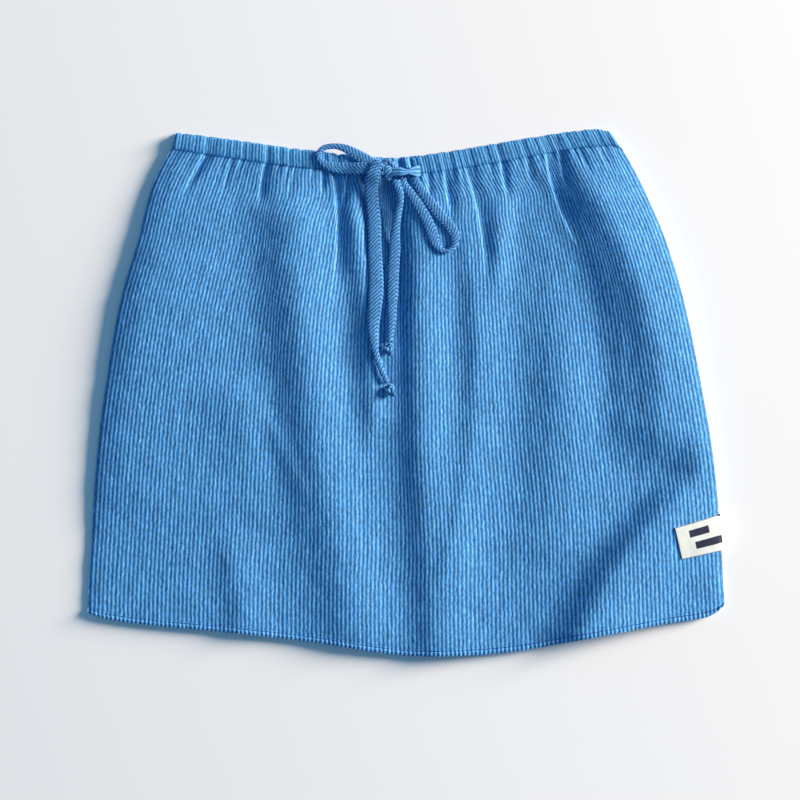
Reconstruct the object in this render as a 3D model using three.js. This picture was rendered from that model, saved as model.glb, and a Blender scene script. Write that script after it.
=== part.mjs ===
// A gathered mini skirt, laid flat on its back: an elastic casing at the waist, a tied
// drawstring with knotted ends, a narrow turned hem and a woven tape folded round one side.
// Millimetres: X across the skirt, Y from the hem up to the waist, Z up from the surface
// that the skirt lies on. The origin is under the middle of the cloth.

import * as THREE from 'three';
import { LoftGeometry } from 'three/addons/geometries/LoftGeometry.js';

// ---------------------------------------------------------------- driving dimensions

const SEAM_GAP = 0.3;            // clear distance between two neighbouring pieces
const CLOTH = 1.2;               // thickness of a panel's puckered cloth
const TURNED_HEM = 0.6;          // what the turned hem adds to the cloth's thickness
const CASING = 3;                // thickness of the cloth folded round the elastic
const GATHERS = 36;              // gathers across the front, and as many across the back
const GATHER_HEIGHT = 1.3;       // rise of one gather beside the casing
const GATHER_UNEVENNESS = 0.56;  // the smallest gather is lower than the largest by this share
const GATHER_REACH = 24;         // how fast the gathers fade below the casing
const SCALLOP = 0.9;             // how far a gather pushes the casing's top edge out
const FULLNESS = 2.2;            // the front stands this far off the back between its folds
const FULLNESS_RISE = 34;        // distance from a side over which that fullness grows
const WAIST_RISE = 2;            // the front climbs this much to reach its casing
const WAIST_RISE_REACH = 20;     // distance below the casing over which it climbs
const FOLDS_FREE = 42;           // distance below the casing at which the folds stand full
const TAPE = 1;                  // thickness of the woven side tape
const TIE_WIDTH = 9;             // the drawstring is a flat tube of bias cloth
const LOOP_WIDTH = 7.8;          // the knot draws its loops a little narrower
const TIE_THICKNESS = 2;
const STEEPEST = 1.7;            // a wall on a slope is at most this much taller than thick

const FRONT_COLUMNS = 2 * GATHERS;
const BACK_COLUMNS = GATHERS;
const CASING_COLUMNS = 3 * GATHERS;

// Names the columns of a table, so that each row can be read by name.
function table(columns, rows) {
  return rows.map((row) => Object.fromEntries(columns.map((name, i) => [name, row[i]])));
}

// ---------------------------------------------------------------- outline

// How far the two side edges lie from the centre line, from the casing down to the hem.
const SIDES = table(['y', 'left', 'right'], [
  [187, -177.4, 163.0],
  [168, -188.0, 173.8],
  [150, -195.2, 182.4],
  [116, -203.6, 196.6],
  [70, -217.0, 210.4],
  [0, -229.2, 225.0],
  [-51, -235.4, 233.2],
  [-112, -239.6, 239.0],
  [-142, -241.5, 241.0],
  [-166, -242.2, 242.4],
]);

// The seam under the casing dips towards the centre front.
const WAIST_SEAM = table(['x', 'y'], [
  [-177.8, 185.1],
  [-109.4, 174.8],
  [-76.8, 170.4],
  [-8.4, 165.2],
  [71.4, 175.4],
  [117.8, 184.0],
  [154.3, 187.6],
  [163.4, 185.8],
]);

// The folded top edge of the casing.
const CASING_TOP = table(['x', 'y'], [
  [-175.6, 198.0],
  [-133.8, 192.7],
  [-88.2, 186.2],
  [-42.6, 181.0],
  [-8.4, 178.8],
  [33.4, 183.6],
  [71.4, 190.0],
  [109.4, 196.2],
  [139.8, 200.2],
  [156.6, 199.5],
]);

// The hem curves down towards the centre too.
const HEM = table(['x', 'y'], [
  [-241.7, -168.2],
  [-225.0, -172.6],
  [-194.6, -176.8],
  [-133.8, -182.4],
  [-73.0, -189.4],
  [-12.2, -198.6],
  [18.0, -200.4],
  [79.0, -197.2],
  [139.8, -186.2],
  [200.6, -175.2],
  [223.4, -171.9],
  [236.0, -168.6],
  [242.0, -164.2],
]);

// ---------------------------------------------------------------- folds

// The large soft folds of the front. Each crest runs down the skirt through three places;
// its height grows from the first to the second and fades to the third, and it is as wide
// as stated on its left and right sides.
const FOLDS = table(
  ['topX', 'topY', 'midX', 'midY', 'lowX', 'lowY', 'topH', 'midH', 'lowH', 'left', 'right'], [
    [-88, 168, -78, 40, -40, -170, 4.2, 7.2, 4.4, 27, 28],
    [-44, 158, -29, 50, -25, -50, 3.0, 4.2, 0.0, 10, 7],
    [3, 150, 9, 10, 24, -188, 4.6, 6.0, 4.6, 18, 30],
    [43, 146, 55, 40, 35, -127, 2.4, 4.4, 2.2, 12, 26],
    [76, 168, 71, 115, 68, 55, 1.6, 2.2, 0.0, 8, 9],
    [112, 110, 119, 10, 112, -110, 2.5, 6.0, 2.5, 28, 34],
    [132, 177, 182, 78, 198, -25, 7.0, 8.4, 6.2, 27, 44],
    [226, -62, 174, -118, 138, -182, 6.5, 8.0, 6.0, 22, 40],
    [-138, -97, -130, -135, -124, -180, 0.0, 2.2, 2.0, 12, 18],
    [-172, 165, -196, 70, -212, -70, 3.6, 5.0, 3.0, 28, 62],
    [-26, 10, -24, -13, -23, -40, 1.5, 3.0, 1.0, 12, 16],
    [-130, 20, -124, -8, -119, -40, 0.5, 2.6, 0.5, 24, 14],
    [-10.6, 167, -6.8, 108, -2, 0, -2.6, -3.2, -0.4, 6, 9],
  ]);
const FOLD_END = 26;             // distance over which a fold fades beyond its ends
const FOLD_AT_SEAM = 0.25;       // the casing holds the folds down to this share

// Where the front rolls over into the back along the sides.
const SIDE_ROLLS = table(['y', 'leftHeight', 'leftCrest', 'rightHeight', 'rightCrest'], [
  [187, 0.3, 8, 0.3, 9],
  [150, 0.3, 8, 0.3, 9],
  [70, 0.3, 8, 0.3, 9],
  [-60, 0.5, 8, 0.6, 11],
  [-166, 0.8, 8, 0.8, 9],
]);

// ---------------------------------------------------------------- reading the tables

// Reads one column of a table at a place along another, as a smooth curve through the rows.
function read(rows, along, at, column) {
  const last = rows.length - 1;
  const forward = rows[last][along] > rows[0][along] ? 1 : -1;
  const place = (i) => forward * rows[i][along];
  const value = (i) => rows[i][column];
  const target = THREE.MathUtils.clamp(forward * at, place(0), place(last));
  let i = 0;
  while (i < last - 1 && target > place(i + 1)) i += 1;
  const slope = (k) => {
    const before = Math.max(k - 1, 0);
    const after = Math.min(k + 1, last);
    return (value(after) - value(before)) / (place(after) - place(before));
  };
  const span = place(i + 1) - place(i);
  const s = (target - place(i)) / span;
  const rise = value(i + 1) - value(i);
  const bend = (1 - s) * (slope(i) * span - rise) + s * (rise - slope(i + 1) * span);
  return value(i) + s * rise + s * (1 - s) * bend;
}

const smooth = THREE.MathUtils.smoothstep;
const mix = THREE.MathUtils.lerp;

// A panel is laid out by u, from its left side (0) to its right side (1), and by t, from
// the waist seam (0) to the hem (1).
function layOut(u, t) {
  const seamX = mix(WAIST_SEAM[0].x, WAIST_SEAM.at(-1).x, u);
  const hemX = mix(HEM[0].x, HEM.at(-1).x, u);
  const bulge = (side, end) => {
    const sideY = mix(read(WAIST_SEAM, 'x', WAIST_SEAM.at(end).x, 'y'), HEM.at(end).y, t);
    return read(SIDES, 'y', sideY, side) - mix(WAIST_SEAM.at(end).x, HEM.at(end).x, t);
  };
  const x = mix(seamX, hemX, t) + (1 - u) * bulge('left', 0) + u * bulge('right', -1);
  const y = mix(read(WAIST_SEAM, 'x', seamX, 'y'), read(HEM, 'x', hemX, 'y'), t);
  return { x, y };
}

// How far the cloth rises in its gathers at u, from 0 to 1. One gather swells more than
// the next, so the row of them looks uneven.
function gather(u) {
  const number = Math.round(u * GATHERS);
  const size = 1 - GATHER_UNEVENNESS * (0.5 - 0.5 * Math.sin(2.4 * number + 1));
  return size * (0.5 + 0.5 * Math.cos(2 * Math.PI * GATHERS * u));
}

// ---------------------------------------------------------------- heights

const HEM_STARTS = 0.9886;       // t at which the turned hem begins
const hemRise = (t) => (t >= HEM_STARTS ? TURNED_HEM : 0);

// The skirt lies a little higher where the side tape passes under it. These are the lines
// of the panels' grids at which that step starts and ends.
const TAPE_LIFT = TAPE + SEAM_GAP;
const LIFT_T = { start: 0.69, full: 0.74, fullEnd: 0.9, end: 0.95 };
const LIFT_U = { start: 31 / BACK_COLUMNS, full: 33 / BACK_COLUMNS };

function tapeLift(u, t) {
  const across = THREE.MathUtils.inverseLerp(LIFT_U.start, LIFT_U.full, u);
  const above = THREE.MathUtils.inverseLerp(LIFT_T.start, LIFT_T.full, t);
  const below = THREE.MathUtils.inverseLerp(LIFT_T.end, LIFT_T.fullEnd, t);
  return TAPE_LIFT * THREE.MathUtils.clamp(Math.min(across, above, below), 0, 1);
}

// The crest of a fold is the parabola through its three places.
function crestX(fold, y) {
  const { topX, topY, midX, midY, lowX, lowY } = fold;
  const share = (a, b, c) => ((y - b) * (y - c)) / ((a - b) * (a - c));
  return topX * share(topY, midY, lowY)
    + midX * share(midY, topY, lowY)
    + lowX * share(lowY, topY, midY);
}

// Height of one fold at a place on the skirt.
function foldHeight(fold, x, y) {
  const along = THREE.MathUtils.clamp(y, fold.lowY, fold.topY);
  const [endY, endH] = along > fold.midY ? [fold.topY, fold.topH] : [fold.lowY, fold.lowH];
  const share = THREE.MathUtils.inverseLerp(endY, fold.midY, along);
  const crest = mix(endH, fold.midH, smooth(share, 0, 1));
  const away = x - crestX(fold, along);
  const width = away < 0 ? fold.left : fold.right;
  const beyond = (y - along) / FOLD_END;
  return crest * Math.exp(-(beyond ** 2) - (away / width) ** 2);
}

// A roll along a side rises steeply from the edge to its crest and falls away gently.
function rollHeight(x, y, side) {
  const away = Math.abs(x - read(SIDES, 'y', y, side));
  const crest = read(SIDE_ROLLS, 'y', y, `${side}Crest`);
  const height = read(SIDE_ROLLS, 'y', y, `${side}Height`);
  return height * (away / crest) * Math.exp(1 - away / crest);
}

const backTop = (u, t) => tapeLift(u, t) + CLOTH + hemRise(t);

// Underside of the front panel's cloth.
function frontUnder(u, t) {
  const { x, y } = layOut(u, t);
  const fromSide = Math.min(x - read(SIDES, 'y', y, 'left'), read(SIDES, 'y', y, 'right') - x);
  const fromSeam = read(WAIST_SEAM, 'x', x, 'y') - y;
  const full = FULLNESS * (1 - Math.exp(-Math.max(fromSide, 0) / FULLNESS_RISE));
  const climb = WAIST_RISE * Math.exp(-((fromSeam / WAIST_RISE_REACH) ** 2));
  const gathered = GATHER_HEIGHT * gather(u) * Math.exp(-Math.max(fromSeam, 0) / GATHER_REACH);
  const settled = smooth(fromSeam, 0, FOLDS_FREE);
  let folds = rollHeight(x, y, 'left') + rollHeight(x, y, 'right');
  for (const fold of FOLDS) folds += foldHeight(fold, x, y);
  const drawnIn = mix(FOLD_AT_SEAM, 1, settled);
  return backTop(u, t) + SEAM_GAP + climb + gathered + settled * full + drawnIn * folds;
}

// ---------------------------------------------------------------- cloth walls

// Rows of a panel's grid, closer together at the waist, at the tape and at the hem.
const FRONT_ROWS = [0, 0.015, 0.045, 0.09, 0.15, 0.23, 0.32, 0.42, 0.52, 0.61,
  LIFT_T.start, LIFT_T.full, 0.82, LIFT_T.fullEnd, LIFT_T.end, 0.985, HEM_STARTS, 1];
const BACK_ROWS = [0, 0.12, 0.35, 0.53, LIFT_T.start, LIFT_T.full, LIFT_T.fullEnd, LIFT_T.end,
  0.985, HEM_STARTS, 1];

// Points of one surface of a panel, in columns from the left side to the right.
function surface(columns, rows, height) {
  return Array.from({ length: columns + 1 }, (_, i) => rows.map((t) => {
    const u = i / columns;
    const { x, y } = layOut(u, t);
    return new THREE.Vector3(x, y, height(u, t));
  }));
}

// Lifts a surface by the cloth's thickness, measured square to the cloth on a slope.
function thicken(under, rows) {
  return under.map((column, i) => column.map((point, j) => {
    const before = under[Math.max(i - 1, 0)][j];
    const after = under[Math.min(i + 1, under.length - 1)][j];
    const slope = (after.z - before.z) / (after.x - before.x);
    const stretch = Math.min(Math.hypot(1, slope), STEEPEST);
    return point.clone().setZ(point.z + CLOTH * stretch + hemRise(rows[j]));
  }));
}

// A wall is lofted through its columns: down the outer surface and back along the inner.
function wall(under, over) {
  const sections = over.map((column, i) => [...column, ...under[i].toReversed()]);
  return new LoftGeometry(sections, { capStart: true, capEnd: true });
}

// ---------------------------------------------------------------- the pieces

const clothColour = { color: 0x4a87be, roughness: 0.78, metalness: 0 };
const tieColour = { color: 0x4c88c4, roughness: 0.75, metalness: 0 };
const tapeColour = { color: 0xeeebe2, roughness: 0.7, metalness: 0 };

const skirt = new THREE.Group();

function addPiece(name, geometry, look) {
  const piece = new THREE.Mesh(geometry, new THREE.MeshStandardMaterial(look));
  piece.name = name;
  skirt.add(piece);
  return piece;
}

const frontUnderside = surface(FRONT_COLUMNS, FRONT_ROWS, frontUnder);
const frontOutside = thicken(frontUnderside, FRONT_ROWS);
// The side seams hold the front down to the back, so its two outermost columns reach it.
const seamLine = surface(FRONT_COLUMNS, FRONT_ROWS, (u, t) => backTop(u, t) + SEAM_GAP);
const frontInside = frontUnderside.map((column, i) => (
  i === 0 || i === FRONT_COLUMNS ? seamLine[i] : column
));
addPiece('front_panel', wall(frontInside, frontOutside), clothColour);

const backUnderside = surface(BACK_COLUMNS, BACK_ROWS, tapeLift);
const backInside = surface(BACK_COLUMNS, BACK_ROWS, backTop);
addPiece('back_panel', wall(backUnderside, backInside), clothColour);

// Casing of one side: a flat oval of folded cloth, drawn up into gathers.
const OVAL_SIDES = 8;
const OVAL_SQUARENESS = 0.55;

function squared(value) {
  return Math.sign(value) * Math.abs(value) ** OVAL_SQUARENESS;
}

function casing({ low, scallop, swell, inset }) {
  const reach = squared(Math.cos(Math.PI / OVAL_SIDES));
  const sections = [];
  for (let i = 0; i <= CASING_COLUMNS; i += 1) {
    const u = i / CASING_COLUMNS;
    const seamX = mix(WAIST_SEAM[0].x, WAIST_SEAM.at(-1).x, u);
    const topX = mix(CASING_TOP[0].x, CASING_TOP.at(-1).x, u);
    const seam = new THREE.Vector2(seamX, read(WAIST_SEAM, 'x', seamX, 'y') + SEAM_GAP);
    const pushed = scallop * (gather(u) - 0.5) - inset;
    const top = new THREE.Vector2(topX, read(CASING_TOP, 'x', topX, 'y') + pushed);
    const section = [];
    for (let k = 0; k < OVAL_SIDES; k += 1) {
      const angle = (2 * Math.PI * (k + 0.5)) / OVAL_SIDES;
      const across = 0.5 + (0.5 * squared(Math.cos(angle))) / reach;
      const raised = 0.5 + (0.5 * squared(Math.sin(angle))) / reach;
      const point = seam.clone().lerp(top, across);
      section.push(new THREE.Vector3(point.x, point.y, low + raised * (CASING + swell * gather(u))));
    }
    sections.push(section);
  }
  return new LoftGeometry(sections, { capStart: true, capEnd: true });
}

const FRONT_CASING_LOW = CASING + SEAM_GAP;
const frontCasing = { low: FRONT_CASING_LOW, scallop: SCALLOP, swell: 0.6, inset: 0.8 };
const backCasing = { low: 0, scallop: SCALLOP, swell: 0, inset: 0.2 };
addPiece('casing_front', casing(frontCasing), clothColour);
addPiece('casing_back', casing(backCasing), clothColour);

// ---------------------------------------------------------------- drawstring

// Routes of the flat tube's middle: each loop leaves the knot and comes back to it, and
// each tail hangs down the front to its own end knot.
const place = (x, y, z) => new THREE.Vector3(x, y, z);

const LOOP_LEFT = [
  place(-17.2, 172.2, 8.2), place(-26.6, 174.4, 8.2), place(-33.4, 178.2, 8.2),
  place(-40.3, 182.2, 8.2), place(-47.8, 185.8, 8.2), place(-56.2, 186.9, 8.2),
  place(-63.4, 185.0, 8.2), place(-66.6, 180.2, 8.2), place(-64.2, 175.4, 8.2),
  place(-57.8, 171.6, 8.3), place(-46.0, 170.0, 8.6), place(-35.0, 170.0, 10.6),
  place(-25.8, 170.4, 10.8), place(-17.4, 170.8, 10.8),
];
const LOOP_RIGHT = [
  place(-2.0, 161.0, 8.2), place(-1.6, 158.4, 8.4), place(1.4, 154.0, 8.8),
  place(6.4, 146.6, 9.8), place(11.6, 138.4, 10.7), place(16.4, 129.6, 10.9),
  place(21.6, 118.4, 10.7), place(25.6, 109.6, 10.3), place(31.4, 106.9, 9.8),
  place(36.4, 111.0, 9.6), place(37.0, 118.4, 9.6), place(33.9, 124.8, 9.7),
  place(28.6, 131.2, 9.8), place(22.0, 139.2, 10.0), place(15.5, 147.7, 9.7),
  place(10.2, 155.2, 8.8), place(7.4, 161.0, 8.6),
];
const TAIL_LEFT = [
  place(-20.0, 174.6, 13.3), place(-22.6, 170.6, 13.3), place(-25.0, 164.5, 13.1),
  place(-26.4, 156.5, 9.8), place(-25.7, 146.3, 7.4), place(-24.3, 132.6, 7.6),
  place(-23.9, 115.9, 8.0), place(-23.2, 99.2, 8.6), place(-22.6, 83.2, 9.3),
  place(-23.2, 70.3, 10.4), place(-24.3, 56.6, 11.0), place(-24.9, 42.9, 11.9),
  place(-22.8, 30.0, 11.6), place(-19.8, 20.1, 11.1), place(-14.2, 7.4, 10.2),
];
const TAIL_RIGHT = [
  place(-7.4, 161.2, 11.2), place(-7.2, 158.2, 11.2), place(-4.8, 152.6, 11.3),
  place(-4.2, 146.5, 10.7), place(-5.4, 139.5, 9.6), place(-6.8, 131.0, 8.8),
  place(-8.1, 120.5, 8.2), place(-8.6, 107.5, 7.8), place(-9.5, 94.6, 8.0),
  place(-10.0, 81.7, 8.1), place(-10.4, 68.8, 8.2), place(-10.8, 56.6, 8.5),
  place(-11.6, 46.0, 8.7), place(-12.4, 38.9, 9.0),
];

// The tube's flat oval: its thickness lies along the shape's X and its width along Y.
function tieSection(width) {
  const corners = [];
  for (let k = 0; k < OVAL_SIDES; k += 1) {
    const angle = (2 * Math.PI * k) / OVAL_SIDES;
    const x = (TIE_THICKNESS / 2) * squared(Math.cos(angle));
    const y = (width / 2) * squared(Math.sin(angle));
    corners.push(new THREE.Vector2(x, y));
  }
  return new THREE.Shape(corners);
}

function tie(route, width, steps) {
  const extrudePath = new THREE.CatmullRomCurve3(route);
  return new THREE.ExtrudeGeometry(tieSection(width), { steps, extrudePath });
}

// The loops bend tightly, so their steps are shorter than those of the tails.
const LOOP_STEPS = 22;
const TAIL_STEPS = 17;

addPiece('tie_loop_left', tie(LOOP_LEFT, LOOP_WIDTH, LOOP_STEPS), tieColour);
addPiece('tie_loop_right', tie(LOOP_RIGHT, LOOP_WIDTH, LOOP_STEPS), tieColour);
addPiece('tie_tail_left', tie(TAIL_LEFT, TIE_WIDTH, TAIL_STEPS), tieColour);
addPiece('tie_tail_right', tie(TAIL_RIGHT, TIE_WIDTH, TAIL_STEPS), tieColour);

// A knot is a barrel turned about its own long axis and pressed flat.
const BARREL = table(['along', 'out'], [
  [-1, 0],
  [-0.96, 0.6],
  [-0.74, 0.88],
  [-0.3, 1],
  [0.3, 1],
  [0.74, 0.88],
  [0.96, 0.6],
  [1, 0],
]);
const BARREL_SIDES = 12;

function knot(name, { halfLength, halfWidth, halfHeight, centre, turn }) {
  const profile = BARREL.map(({ along, out }) => new THREE.Vector2(halfWidth * out, halfLength * along));
  const geometry = new THREE.LatheGeometry(profile, BARREL_SIDES);
  geometry.scale(1, 1, halfHeight / halfWidth);
  const piece = addPiece(name, geometry, tieColour);
  piece.position.copy(centre);
  piece.rotation.z = turn;
}

knot('bow_knot', {
  halfLength: 13.4, halfWidth: 6, halfHeight: 4, centre: place(-2.9, 167.6, 11.4), turn: Math.PI / 2,
});
knot('end_knot_left', {
  halfLength: 5.5, halfWidth: 3.6, halfHeight: 2.6, centre: place(-11.8, 2.0, 10.8), turn: 0.42,
});
knot('end_knot_right', {
  halfLength: 5.5, halfWidth: 3.4, halfHeight: 2.6, centre: place(-12.9, 33.1, 10.2), turn: 0.05,
});

// ---------------------------------------------------------------- side tape

// The woven tape is folded round the right side: one leg lies on the front and one under
// the back. Its upper edge is the first row and its lower edge the second: each has the
// end of the leg in front, the height of the fold, and the end of the leg behind.
const TAPE_EDGES = table(['frontX', 'frontY', 'foldY', 'backX', 'backY'], [
  [203.6, -102.4, -92.4, 207.0, -87.0],
  [209.4, -126.2, -119.8, 210.6, -112.2],
]);
const TAPE_STEPS = 7;
const TAPE_BACK_SHARES = [0.02, 0.5, 1];
const TAPE_PROBES = 4;               // places across the tape that have to clear the cloth
const TAPE_REST = 0.8;               // the tape lies this far off the front's highest places
const TAPE_BEND = 0.4;               // and its fold clears the cloth's edge by this much

// Height of the front panel's outside at a place, from its nearest columns.
function frontTop(x, y) {
  let best = 0;
  let nearest = Infinity;
  for (const column of frontOutside) {
    for (let j = 1; j < column.length; j += 1) {
      const share = THREE.MathUtils.inverseLerp(column[j - 1].y, column[j].y, y);
      if (share < 0 || share > 1) continue;
      const point = column[j - 1].clone().lerp(column[j], share);
      const apart = Math.abs(point.x - x);
      if (apart < nearest) {
        nearest = apart;
        best = point.z;
      }
    }
  }
  return best;
}

// Where a line across the tape meets one of its two long edges.
const tapeLines = {
  front: ({ frontX, frontY }) => new THREE.Vector2(frontX, frontY),
  fold: ({ foldY }) => new THREE.Vector2(read(SIDES, 'y', foldY, 'right'), foldY),
  back: ({ backX, backY }) => new THREE.Vector2(backX, backY),
};

// A point of the tape: part of the way from one line to the next, and part of the way
// across from its upper edge to its lower one.
function tapeSpot(from, to, share, across) {
  const [upper, lower] = TAPE_EDGES.map(
    (edge) => tapeLines[from](edge).lerp(tapeLines[to](edge), share),
  );
  return upper.lerp(lower, across);
}

// The tape is straight across its width, so it rests on the cloth's highest place there.
function restOfTape(share) {
  const probes = Array.from({ length: TAPE_PROBES }, (_, i) => i / (TAPE_PROBES - 1));
  return Math.max(...probes.map((across) => {
    const spot = tapeSpot('front', 'fold', share, across);
    return frontTop(spot.x, spot.y);
  })) + TAPE_REST;
}

// One section of the tape: under and over its upper edge, then over and under its lower.
function tapeSection(from, to, share, inner, outer) {
  const upper = tapeSpot(from, to, share, 0);
  const lower = tapeSpot(from, to, share, 1);
  return [
    place(upper.x + inner.out, upper.y, inner.z),
    place(upper.x + outer.out, upper.y, outer.z),
    place(lower.x + outer.out, lower.y, outer.z),
    place(lower.x + inner.out, lower.y, inner.z),
  ];
}

function sideTape() {
  const sections = [];
  for (let k = 0; k <= TAPE_STEPS; k += 1) {
    const z = restOfTape(k / TAPE_STEPS);
    sections.push(tapeSection('front', 'fold', k / TAPE_STEPS, { out: 0, z }, { out: 0, z: z + TAPE }));
  }
  const shoulder = restOfTape(1);
  const bendIn = TAPE_BEND;
  const bendOut = TAPE_BEND + TAPE;
  for (const z of [shoulder - TAPE / 2, TAPE * 1.5]) {
    sections.push(tapeSection('fold', 'back', 0, { out: bendIn, z }, { out: bendOut, z }));
  }
  for (const share of TAPE_BACK_SHARES) {
    sections.push(tapeSection('fold', 'back', share, { out: 0, z: TAPE }, { out: 0, z: 0 }));
  }
  return new LoftGeometry(sections, { capStart: true, capEnd: true });
}

addPiece('side_tape', sideTape(), tapeColour);

export default skirt;
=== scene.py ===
# %% [markdown]
# # A gathered mini skirt, laid flat
# The skirt is one width of striped seersucker in front and one behind. Their top edges
# are folded over elastic, which draws the cloth up into small gathers, and a flat tie
# of the same cloth is bowed at the centre. Everything is modelled in the frame that
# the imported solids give: metres, X across, Y from the hem to the waist, Z up.
# The tables below are in millimetres, because that is how a pattern cutter writes them.

# %% Load the fixed frame
import math

import bpy
import numpy as np
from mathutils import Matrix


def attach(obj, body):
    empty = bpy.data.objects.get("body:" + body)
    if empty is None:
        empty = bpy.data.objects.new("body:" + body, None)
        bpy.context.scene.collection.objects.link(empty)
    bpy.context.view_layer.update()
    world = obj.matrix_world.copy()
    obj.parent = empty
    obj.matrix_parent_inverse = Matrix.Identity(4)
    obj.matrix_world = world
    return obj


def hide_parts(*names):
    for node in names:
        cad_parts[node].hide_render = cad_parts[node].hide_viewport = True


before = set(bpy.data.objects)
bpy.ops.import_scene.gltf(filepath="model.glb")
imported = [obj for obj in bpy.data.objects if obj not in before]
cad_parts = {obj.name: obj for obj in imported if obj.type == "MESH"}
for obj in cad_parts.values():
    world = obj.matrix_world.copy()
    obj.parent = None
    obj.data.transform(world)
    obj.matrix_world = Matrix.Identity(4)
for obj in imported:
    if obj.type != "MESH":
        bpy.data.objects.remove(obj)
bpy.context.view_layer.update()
MM = 0.001
print("solids:", sorted(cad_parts))

# %% [markdown]
# ## Camera
# The skirt is seen from straight above, as a cut-out on a page is. A long lens far away
# keeps the outline true from edge to edge, as a copy stand does.

# %% Camera
PIXEL = 0.76 * MM               # how much of the skirt one pixel of the picture covers
PICTURE = 800                   # the picture is this many pixels wide and high
PICTURE_CENTRE = (-4.56 * MM, -5.7 * MM)
CLOTH_HEIGHT = 5 * MM           # the height of cloth at which that scale holds
LENS, SENSOR = 130.0, 36.0

camera_data = bpy.data.cameras.new("camera")
camera_data.lens = LENS
camera_data.sensor_width = SENSOR
camera = bpy.data.objects.new("camera", camera_data)
bpy.context.collection.objects.link(camera)
camera_height = PICTURE * PIXEL * LENS / SENSOR + CLOTH_HEIGHT
camera.location = (*PICTURE_CENTRE, camera_height)
bpy.context.scene.camera = camera
print("camera", round(camera_height, 3), "m above the table")

# %% [markdown]
# ## Meshes from grids
# Every piece of cloth here is a grid of points: a panel is a grid over its plan, and a
# tie is a ring swept along a line. These helpers turn grids of millimetres into closed
# meshes in metres, with a UV map called weave that counts stripes along U and metres
# along V, so one cloth material fits every piece.

# %% Mesh helpers
def make_piece(name, points, faces, weave, slot, nodes, material):
    """A closed mesh from points in mm, faces and each point's place in the weave."""
    mesh = bpy.data.meshes.new(name)
    mesh.from_pydata((np.asarray(points) * MM).tolist(), [], faces)
    layer = mesh.uv_layers.new(name="weave")
    corners = np.empty(len(mesh.loops), dtype=np.int32)
    mesh.loops.foreach_get("vertex_index", corners)
    layer.uv.foreach_set("vector", np.asarray(weave, dtype=np.float32)[corners].ravel())
    mesh.materials.append(material)
    mesh.validate()
    mesh.shade_smooth()
    piece = bpy.data.objects.new(name, mesh)
    bpy.context.collection.objects.link(piece)
    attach(piece, "root")
    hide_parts(*nodes)
    print(name, len(points), "points")
    return piece


def grid_faces(rows, columns, start=0, flip=False):
    """Quads over a grid of points whose rows run one after another."""
    row, column = np.meshgrid(np.arange(rows - 1), np.arange(columns - 1), indexing="ij")
    a = (start + row * columns + column).ravel()
    quads = np.stack([a, a + columns, a + columns + 1, a + 1], axis=1)
    return (quads[:, ::-1] if flip else quads).tolist()


def tube_faces(rings, sides):
    """Quads over rings of points that run one after another, and a face at each end."""
    ring, k = np.meshgrid(np.arange(rings - 1), np.arange(sides), indexing="ij")
    a, b = ring * sides + k, ring * sides + (k + 1) % sides
    quads = np.stack([a, b, b + sides, a + sides], axis=-1).reshape(-1, 4).tolist()
    return quads + [list(range(sides - 1, -1, -1)),
                    list(range((rings - 1) * sides, rings * sides))]


def joined_rim(fine, coarse):
    """Triangles between a fine and a coarse run of points that start and end together."""
    faces = []
    step = (len(fine) - 1) // (len(coarse) - 1)
    for k in range(len(coarse) - 1):
        middle = k * step + step // 2
        for i in range(k * step, (k + 1) * step):
            near = coarse[k] if i < middle else coarse[k + 1]
            faces.append([fine[i], near, fine[i + 1]])
        faces.append([fine[middle], coarse[k], coarse[k + 1]])
    return faces


# %% [markdown]
# ## The pattern's tables
# The outline and the rolls along the sides are the named sizes that the solids are
# built from, and the large folds run along the same lines, so the fine cloth lies where
# its solid lies. Some folds stand a few millimetres higher here, as loose cloth does.

# %% Outline and fold tables
def table(columns, rows):
    """Turns rows of numbers into one array for each named column."""
    return {name: np.array([row[i] for row in rows], float) for i, name in enumerate(columns)}


SIDES = table(["y", "left", "right"], [
    [187, -177.4, 163.0], [168, -188.0, 173.8], [150, -195.2, 182.4], [116, -203.6, 196.6],
    [70, -217.0, 210.4], [0, -229.2, 225.0], [-51, -235.4, 233.2], [-112, -239.6, 239.0],
    [-142, -241.5, 241.0], [-166, -242.2, 242.4]])
WAIST_SEAM = table(["x", "y"], [
    [-177.8, 185.1], [-109.4, 174.8], [-76.8, 170.4], [-8.4, 165.2], [71.4, 175.4],
    [117.8, 184.0], [154.3, 187.6], [163.4, 185.8]])
CASING_TOP = table(["x", "y"], [
    [-175.6, 198.0], [-133.8, 192.7], [-88.2, 186.2], [-42.6, 181.0], [-8.4, 178.8],
    [33.4, 183.6], [71.4, 190.0], [109.4, 196.2], [139.8, 200.2], [156.6, 199.5]])
HEM = table(["x", "y"], [
    [-241.7, -168.2], [-225.0, -172.6], [-194.6, -176.8], [-133.8, -182.4], [-73.0, -189.4],
    [-12.2, -198.6], [18.0, -200.4], [79.0, -197.2], [139.8, -186.2], [200.6, -175.2],
    [223.4, -171.9], [236.0, -168.6], [242.0, -164.2]])
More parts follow.
